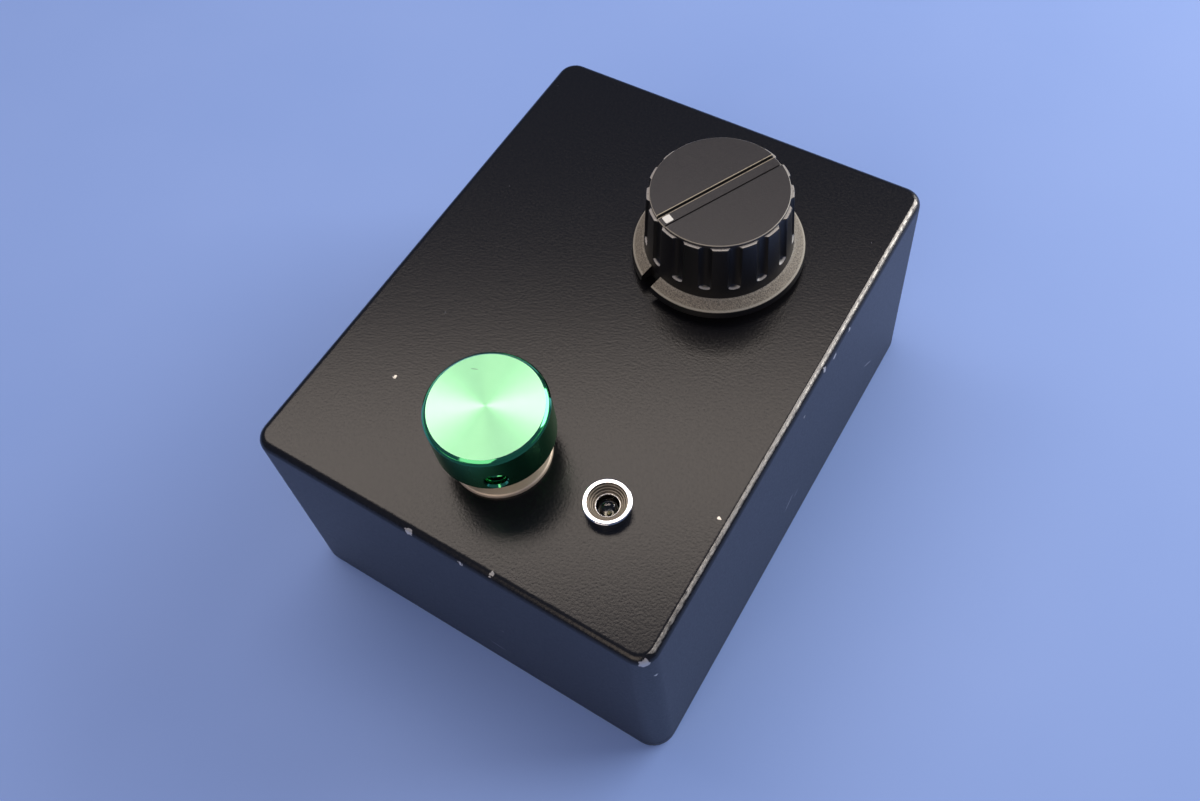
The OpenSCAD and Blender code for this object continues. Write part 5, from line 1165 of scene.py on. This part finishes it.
def hex_nut(name, flats, bore_r, height, place, finish):
    """A hex nut with both ends of its corners taken off by a cone."""
    corner = flats / 2 / math.cos(math.pi / 6)
    chamfer = (corner - flats / 2) * CONE_SLOPE * ROW_REACH
    rows = [k * chamfer / 5 for k in range(6)] + [height - k * chamfer / 5 for k in range(5, -1, -1)]
    angles = [2 * math.pi * k / NUT_COLUMNS for k in range(NUT_COLUMNS)]
    loops = []
    for z in rows:
        cone = CONE_START * flats / 2 + min(z, height - z) / CONE_SLOPE
        reach = [min(flats / 2 / math.cos(a % (math.pi / 3) - math.pi / 6), cone) for a in angles]
        loops.append([(r * math.cos(a), r * math.sin(a), z) for r, a in zip(reach, angles)])
    wide = bore_r + BORE_LEAD
    for r, z in ((wide, height), (bore_r, height - BORE_LEAD), (bore_r, BORE_LEAD), (wide, 0)):
        loops.append(circle(r, z, NUT_COLUMNS))
    return make_piece(name, *skin_over(loops, closed=True), [finish], place)


print("a nut is drawn with", NUT_COLUMNS, "columns")

# %% [markdown]
# ## Footswitch hardware
# Under the topper a flat nickel washer and a hex nut clamp the switch's threaded bush to the panel, and
# the nickelled plunger comes up through it. Inside, a return spring pushes the plunger up. The spring is
# a wire swept along a spiral.

# %% Footswitch hardware
SWITCH_AXIS = (0.0, foot_of("switch_topper").y)
WASHER_BORE_R, WASHER_T, NUT_FLATS, NUT_H = 6.1, 1.0, 14.0, 2.6
BUSH_R, BUSH_BORE_R, BUSH_PITCH, BUSH_THREAD_L, FRAME_T, PLATE_HOLE_R = 6.0, 4.05, 0.75, 6.0, 1.2, 5.15


def on_switch(z):
    """Place on the switch's axis at a height in metres."""
    return place_at((*SWITCH_AXIS, z))


washer_low, washer_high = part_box("switch_washer")
washer_r = (washer_high.x - washer_low.x) / 2 / MM
washer = turned("footswitch_washer", [
    (WASHER_BORE_R, 0), (washer_r, 0, 0.1), (washer_r, WASHER_T, 0.42), (WASHER_BORE_R, WASHER_T, 0.12)],
    160, [washer_nickel_painted_light], on_switch(washer_low.z))
seat(washer, "case", "nickel", "switch_washer")
nut_place = on_switch(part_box("switch_nut")[0].z)
switch_nut = hex_nut("footswitch_nut", NUT_FLATS, WASHER_BORE_R, NUT_H, nut_place, nickel)
seat(switch_nut, "case", "nickel", "switch_nut", angle=24)
bush_low, bush_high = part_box("switch_bush")
bush_h = (bush_high.z - bush_low.z) / MM
bush_place = on_switch(bush_low.z)
switch_bush = threaded_bush(
    "footswitch_bush", BUSH_R, BUSH_BORE_R, FRAME_T, bush_h, BUSH_PITCH, bush_place, nickel,
    bush_h - BUSH_THREAD_L)
seat(switch_bush, "case", "nickel", "switch_bush", angle=28)
plate_w = (bush_high.x - bush_low.x) / MM
plate = make_piece("footswitch_frame_plate", *rounded_square(plate_w, 0, FRAME_T, 0.6, 0.15), [zinc])
carve(plate, turned("plate_hole", [(0, -1), (PLATE_HOLE_R, -1), (PLATE_HOLE_R, 3), (0, 3)], 96, [zinc]))
plate.data.transform(bush_place)
seat(plate, "case", "zinc_plate", "switch_bush")
plunger = merged_copy("footswitch_plunger", "switch_plunger", [nickel])
seat(plunger, "footswitch_button", "nickel", "switch_plunger")

# %% Return spring by Geometry Nodes
WIRE_R, CURL_R, CURLS, PRESS, END_GAP = 0.4, 3.5, 6.0, 2.6, 0.05


def spring_tree():
    """Sweeps a round wire along a spiral."""
    tree, value, keys = start_tree("coil spring", ["Curls", "Mean radius", "Length", "Wire radius"])
    mean = value["Mean radius"]
    coil = add(tree, "CurveSpiral", [32, value["Curls"], mean, mean, value["Length"]])
    wire = add(tree, "CurvePrimitiveCircle", {"Resolution": 12, "Radius": value["Wire radius"]})
    swept = add(tree, "CurveToMesh", {"Curve": coil, "Profile Curve": wire, "Fill Caps": True})
    close_tree(tree, swept, value["Finish"])
    return tree, keys


spring_low, spring_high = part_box("switch_spring")
spring_length = (spring_high.z - spring_low.z) / MM
spring = make_piece("return_spring", [], [], [spring_steel])
grow(spring, *spring_tree(), {
    "Curls": CURLS, "Mean radius": CURL_R, "Length": spring_length - 2 * (WIRE_R + END_GAP),
    "Wire radius": WIRE_R, "Finish": spring_steel})
spring.data.transform(on_switch(spring_low.z + (WIRE_R + END_GAP) * MM))
spring.data.shade_smooth()
seat(spring, "case", "spring_steel", "switch_spring", angle=None)
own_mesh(spring)

# %% [markdown]
# ## Indicator lamp
# A chromed bezel holds a clear 5 mm lamp. Its rim is flat and bright, and a ringed cone behind it throws
# the light out. Inside the clear lens stand two posts, and the broad one ends in a cup with the chip.
# These show through the epoxy, so they are modelled.

# %% Lamp bezel
bezel_low, bezel_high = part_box("led_bezel")
lens_low, lens_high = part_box("led_lens")
lamp_axis = foot_of("led_bezel")
# The reflector's turned rings break its dull gleam into thin arcs.
reflector = turned_metal(
    "Turned nickel reflector", "#9d9588", "#655e55", 0.42, 0.3, lamp_axis, COARSE_MARKS)
bezel_h = (bezel_high.z - bezel_low.z) / MM
BEZEL_R, MOUTH_R, LIP_R, THROAT_R, THREAD_R, REAR_R = 4.6, 3.75, 2.2, 2.6, 4.0, 3.0
PANEL_UP, CONE, RINGS, BEAD = 2.5, 1.8, 4, 0.11
seat_z = (lens_low.z - bezel_low.z) / MM + 1.05
cone_z, bead_r, bead_z = bezel_h - CONE, LIP_R + BEAD, bezel_h - CONE + BEAD
cone = [(MOUTH_R, bezel_h, 0.05)]
for k in range(RINGS):  # shallow turned steps on the reflector
    share = (k + 1) / RINGS
    r, z = MOUTH_R + (bead_r - MOUTH_R) * share, bezel_h - CONE * share
    cone += [(r + 0.17, z + 0.03), (r, z)]
cone += [  # a bead round the lens
    (bead_r, bead_z, 0.045), (LIP_R, bead_z, 0.045), (LIP_R, cone_z - 0.6), (THROAT_R, cone_z - 1.0)]
bezel = turned("lamp_bezel", [
    (REAR_R, seat_z), (REAR_R, 0), (THREAD_R, 0, 0.2), (THREAD_R, bezel_h - PANEL_UP),
    (BEZEL_R, bezel_h - PANEL_UP), (BEZEL_R, bezel_h, 0.22), *cone, (THROAT_R, seat_z)], 128,
    [chrome, reflector])
# The cone and the throat behind it are the reflector, and the rest is chrome.
for face in bezel.data.polygons:
    radius, below = math.hypot(face.center.x, face.center.y), bezel_h - face.center.z
    on_cone = bead_r < radius < MOUTH_R - 0.02 and below < CONE + 0.1
    face.material_index = int(on_cone or radius < THROAT_R and below > CONE)
bezel.data.transform(place_at(lamp_axis))
seat(bezel, "case", "chrome", "led_bezel", angle=24)

# %% Lamp lens, cup and chip
LENS_R, FLANGE_R, FLANGE_T = 2.5, 2.9, 1.0
lens_h = (lens_high.z - lens_low.z) / MM
dome_z = lens_h - LENS_R
dome = [(LENS_R * math.cos(a), dome_z + LENS_R * math.sin(a)) for a in np.linspace(0, math.pi / 2, 24)]
lens = turned("lamp_lens", [
    (0, 0), (FLANGE_R, 0), (FLANGE_R, FLANGE_T), (LENS_R, FLANGE_T), *dome[:-1], (0, lens_h)], 96,
    [epoxy], place_at((lamp_axis.x, lamp_axis.y, lens_low.z)))
seat(lens, "case", "clear_epoxy", "led_lens")
# The lead frame is stamped and tinned, so it is grey and only half bright.
lead_frame = plain_finish("Dull tinned lead frame", "#8f8c84", "#5f5c55", 1.0, 0.3, 0.4, 0.1)
CUP_FOOT, CUP_FLOOR, CUP_RIM, CHIP_W, CHIP_H = -0.5, 0.1, 0.75, 0.4, 0.34  # heights are above the post
post_place = place_at((lamp_axis.x, lamp_axis.y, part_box("led_leads")[1].z))
cup = turned("lamp_cup", [
    (0.3, CUP_FOOT), (0.85, -0.1, 0.1), (1.2, CUP_RIM, 0.05), (1.08, CUP_RIM, 0.05),
    (0.5, CUP_FLOOR, 0.05), (0, CUP_FLOOR), (0, CUP_FOOT)], 64, [lead_frame], post_place)
seat(cup, "case", "tinned_contact")
chip_form = rounded_square(CHIP_W, CUP_FLOOR, CHIP_H, 0.06, 0.03)
chip = make_piece("lamp_chip", *chip_form, [phosphor], post_place)
seat(chip, "case", "tinned_contact")

# %% [markdown]
# ## Jacks on the rear wall
# Two plug jacks and a power jack face the rear. The wall leans with the casting's draft, and the jacks
# lean with it, so they are drawn upright and turned into the wall's own frame.

# %% Jacks on the rear wall
JACK_X, JACK_Z, REAR_Y, WALL = 25.0, 26.0, 59.4103, 2.398
SLEEVE_R, SLEEVE_BORE_R, SLEEVE_IN, SLEEVE_OUT, SLEEVE_PITCH = 4.75, 3.2, 4.0, 4.6, 0.75
DISC_R, DISC_T, JACK_FLATS, JACK_NUT_H, JACK_BORE_R = 7.2, 0.6, 12.6, 2.4, 4.85
POWER_R, POWER_DEEP, POWER_LIP_R, POWER_LIP_T, POWER_BORE_R, BORE_DEEP = 6.0, 13, 7.2, 2.0, 2.8, 8.0
PIN_R, PIN_HOLE_R, PIN_DEEP, PIN_OUT = 1.05, 1.1, 17, 1.0


def on_rear(x, z=0.0):
    """Place on the rear wall: its Z axis points out of the wall, and z is the height above its face."""
    face = Matrix.Translation((x * MM, REAR_Y * MM, JACK_Z * MM))
    turn = Matrix.Rotation(math.radians(DRAFT - 90), 4, "X")
    return face @ turn @ Matrix.Scale(MM, 4) @ Matrix.Translation((0, 0, z))


for side, x in (("input", JACK_X), ("output", -JACK_X)):
    bush = threaded_bush(
        f"{side}_jack_sleeve", SLEEVE_R, SLEEVE_BORE_R, -WALL - SLEEVE_IN, SLEEVE_OUT, SLEEVE_PITCH,
        on_rear(x), nickel, 0.0)
    seat(bush, "case", "nickel", f"{side}_jack_bush", angle=28)
    nut = hex_nut(f"{side}_jack_hex", JACK_FLATS, JACK_BORE_R, JACK_NUT_H, on_rear(x, DISC_T), nickel)
    seat(nut, "case", "nickel", f"{side}_jack_nut", angle=24)
    disc = turned(f"{side}_jack_disc", [
        (JACK_BORE_R, 0), (DISC_R, 0, 0.08), (DISC_R, DISC_T, 0.15), (JACK_BORE_R, DISC_T, 0.08)], 128,
        [nickel], on_rear(x))
    seat(disc, "case", "nickel", f"{side}_jack_washer")
power = turned("power_socket_body", [
    (PIN_HOLE_R, -WALL - POWER_DEEP), (POWER_R, -WALL - POWER_DEEP, 0.3), (POWER_R, 0),
    (POWER_LIP_R, 0, 0.1), (POWER_LIP_R, POWER_LIP_T, 0.5), (POWER_BORE_R + 0.5, POWER_LIP_T, 0.1),
    (POWER_BORE_R, POWER_LIP_T - 0.5, 0.1), (POWER_BORE_R, -BORE_DEEP), (PIN_HOLE_R, -BORE_DEEP)], 128,
    [gloss_black], on_rear(0.0))
seat(power, "case", "black_abs", "power_jack_body")
pin = turned("power_socket_pin", [
    (0, -WALL - PIN_DEEP), (PIN_R, -WALL - PIN_DEEP, 0.1), (PIN_R, PIN_OUT, 0.45), (0, PIN_OUT)], 48,
    [nickel], on_rear(0.0))
seat(pin, "case", "nickel", "power_jack_pin")

# %% [markdown]
# ## Floor and light
# A plain pale floor under an even sky. A soft lamp overhead draws the warm sheen on the panel and the
# white rim of the bezel. A window behind on the right runs a bright line down the right-hand edge and
# across the turned face, and a dim strip in front lifts the knob's skirt and rims.

# %% Floor
REACH, HAIR = 4.0, 0.05 * MM  # the floor lies a hair below the lid, so the two never share a plane


def pale_floor():
    """Matt and pale, with no shine of its own, so the pedal stands out against it."""
    material, tree, shader, spots = start_material("Pale matt floor", "#92b0ee", 0.0, 0.7)
    cloud = add(tree, "TexNoise", [spots, per_mm(60.0), 2.0])
    tint = add(tree, "Mix", [cloud, linear("#8eadec"), linear("#96b3f0")], data_type="RGBA")
    fill(tree, shader, {"Base Color": tint})
    return material


corners = ((-REACH, -REACH), (REACH, -REACH), (REACH, REACH), (-REACH, REACH))
floor = make_piece("floor", [(x, y, -HAIR) for x, y in corners], [(0, 1, 2, 3)], [pale_floor()])
floor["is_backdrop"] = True
print("floor", 2 * REACH, "m wide")

# %% Light
AIM = Vector((0, 0, 0.03))


def soft_lamp(name, spot, wide, high, level, colour, roll=0.0):
    """A rectangular lamp aimed at the pedal. level is how bright its face looks, 1 being white."""
    lamp = bpy.data.objects.new(name, bpy.data.lights.new(name, "AREA"))
    lamp.data.shape = "RECTANGLE"
    lamp.data.size, lamp.data.size_y = wide, high
    lamp.data.energy = level * math.pi * wide * high
    lamp.data.color = linear(colour)[:3]
    aimed = (Vector(spot) - AIM).to_track_quat("Z", "Y").to_matrix().to_4x4()
    lamp.matrix_world = Matrix.Translation(spot) @ aimed @ Matrix.Rotation(roll, 4, "Z")
    scene.collection.objects.link(lamp)


soft_lamp("overhead strip", (-0.29, 0.18, 0.77), 0.9, 0.25, 4.25, "#fff0e2", -0.43)
soft_lamp("side window", (0.47, 0.70, 0.42), 0.75, 0.5, 6.4, "#fbf7f2")
soft_lamp("front strip", (0.10, -0.70, 0.62), 0.6, 0.55, 2.2, "#ffe9d2")
world = bpy.data.worlds.new("even sky")
scene.world = world
world.use_nodes = True
fill(world.node_tree, world.node_tree.nodes["Background"], {"Color": linear("#b0c8ff"), "Strength": 0.22})
scene.view_settings.view_transform = "Standard"

# %% [markdown]
# ## Sizes
# The looks must not change the object's size, so the CAD box and the dressed box are written side by side.

# %% Sizes
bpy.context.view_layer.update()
for label, ends in (("CAD box", cad_box), ("dressed box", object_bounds())):
    print(label, [round(v, 4) for end in ends for v in end])
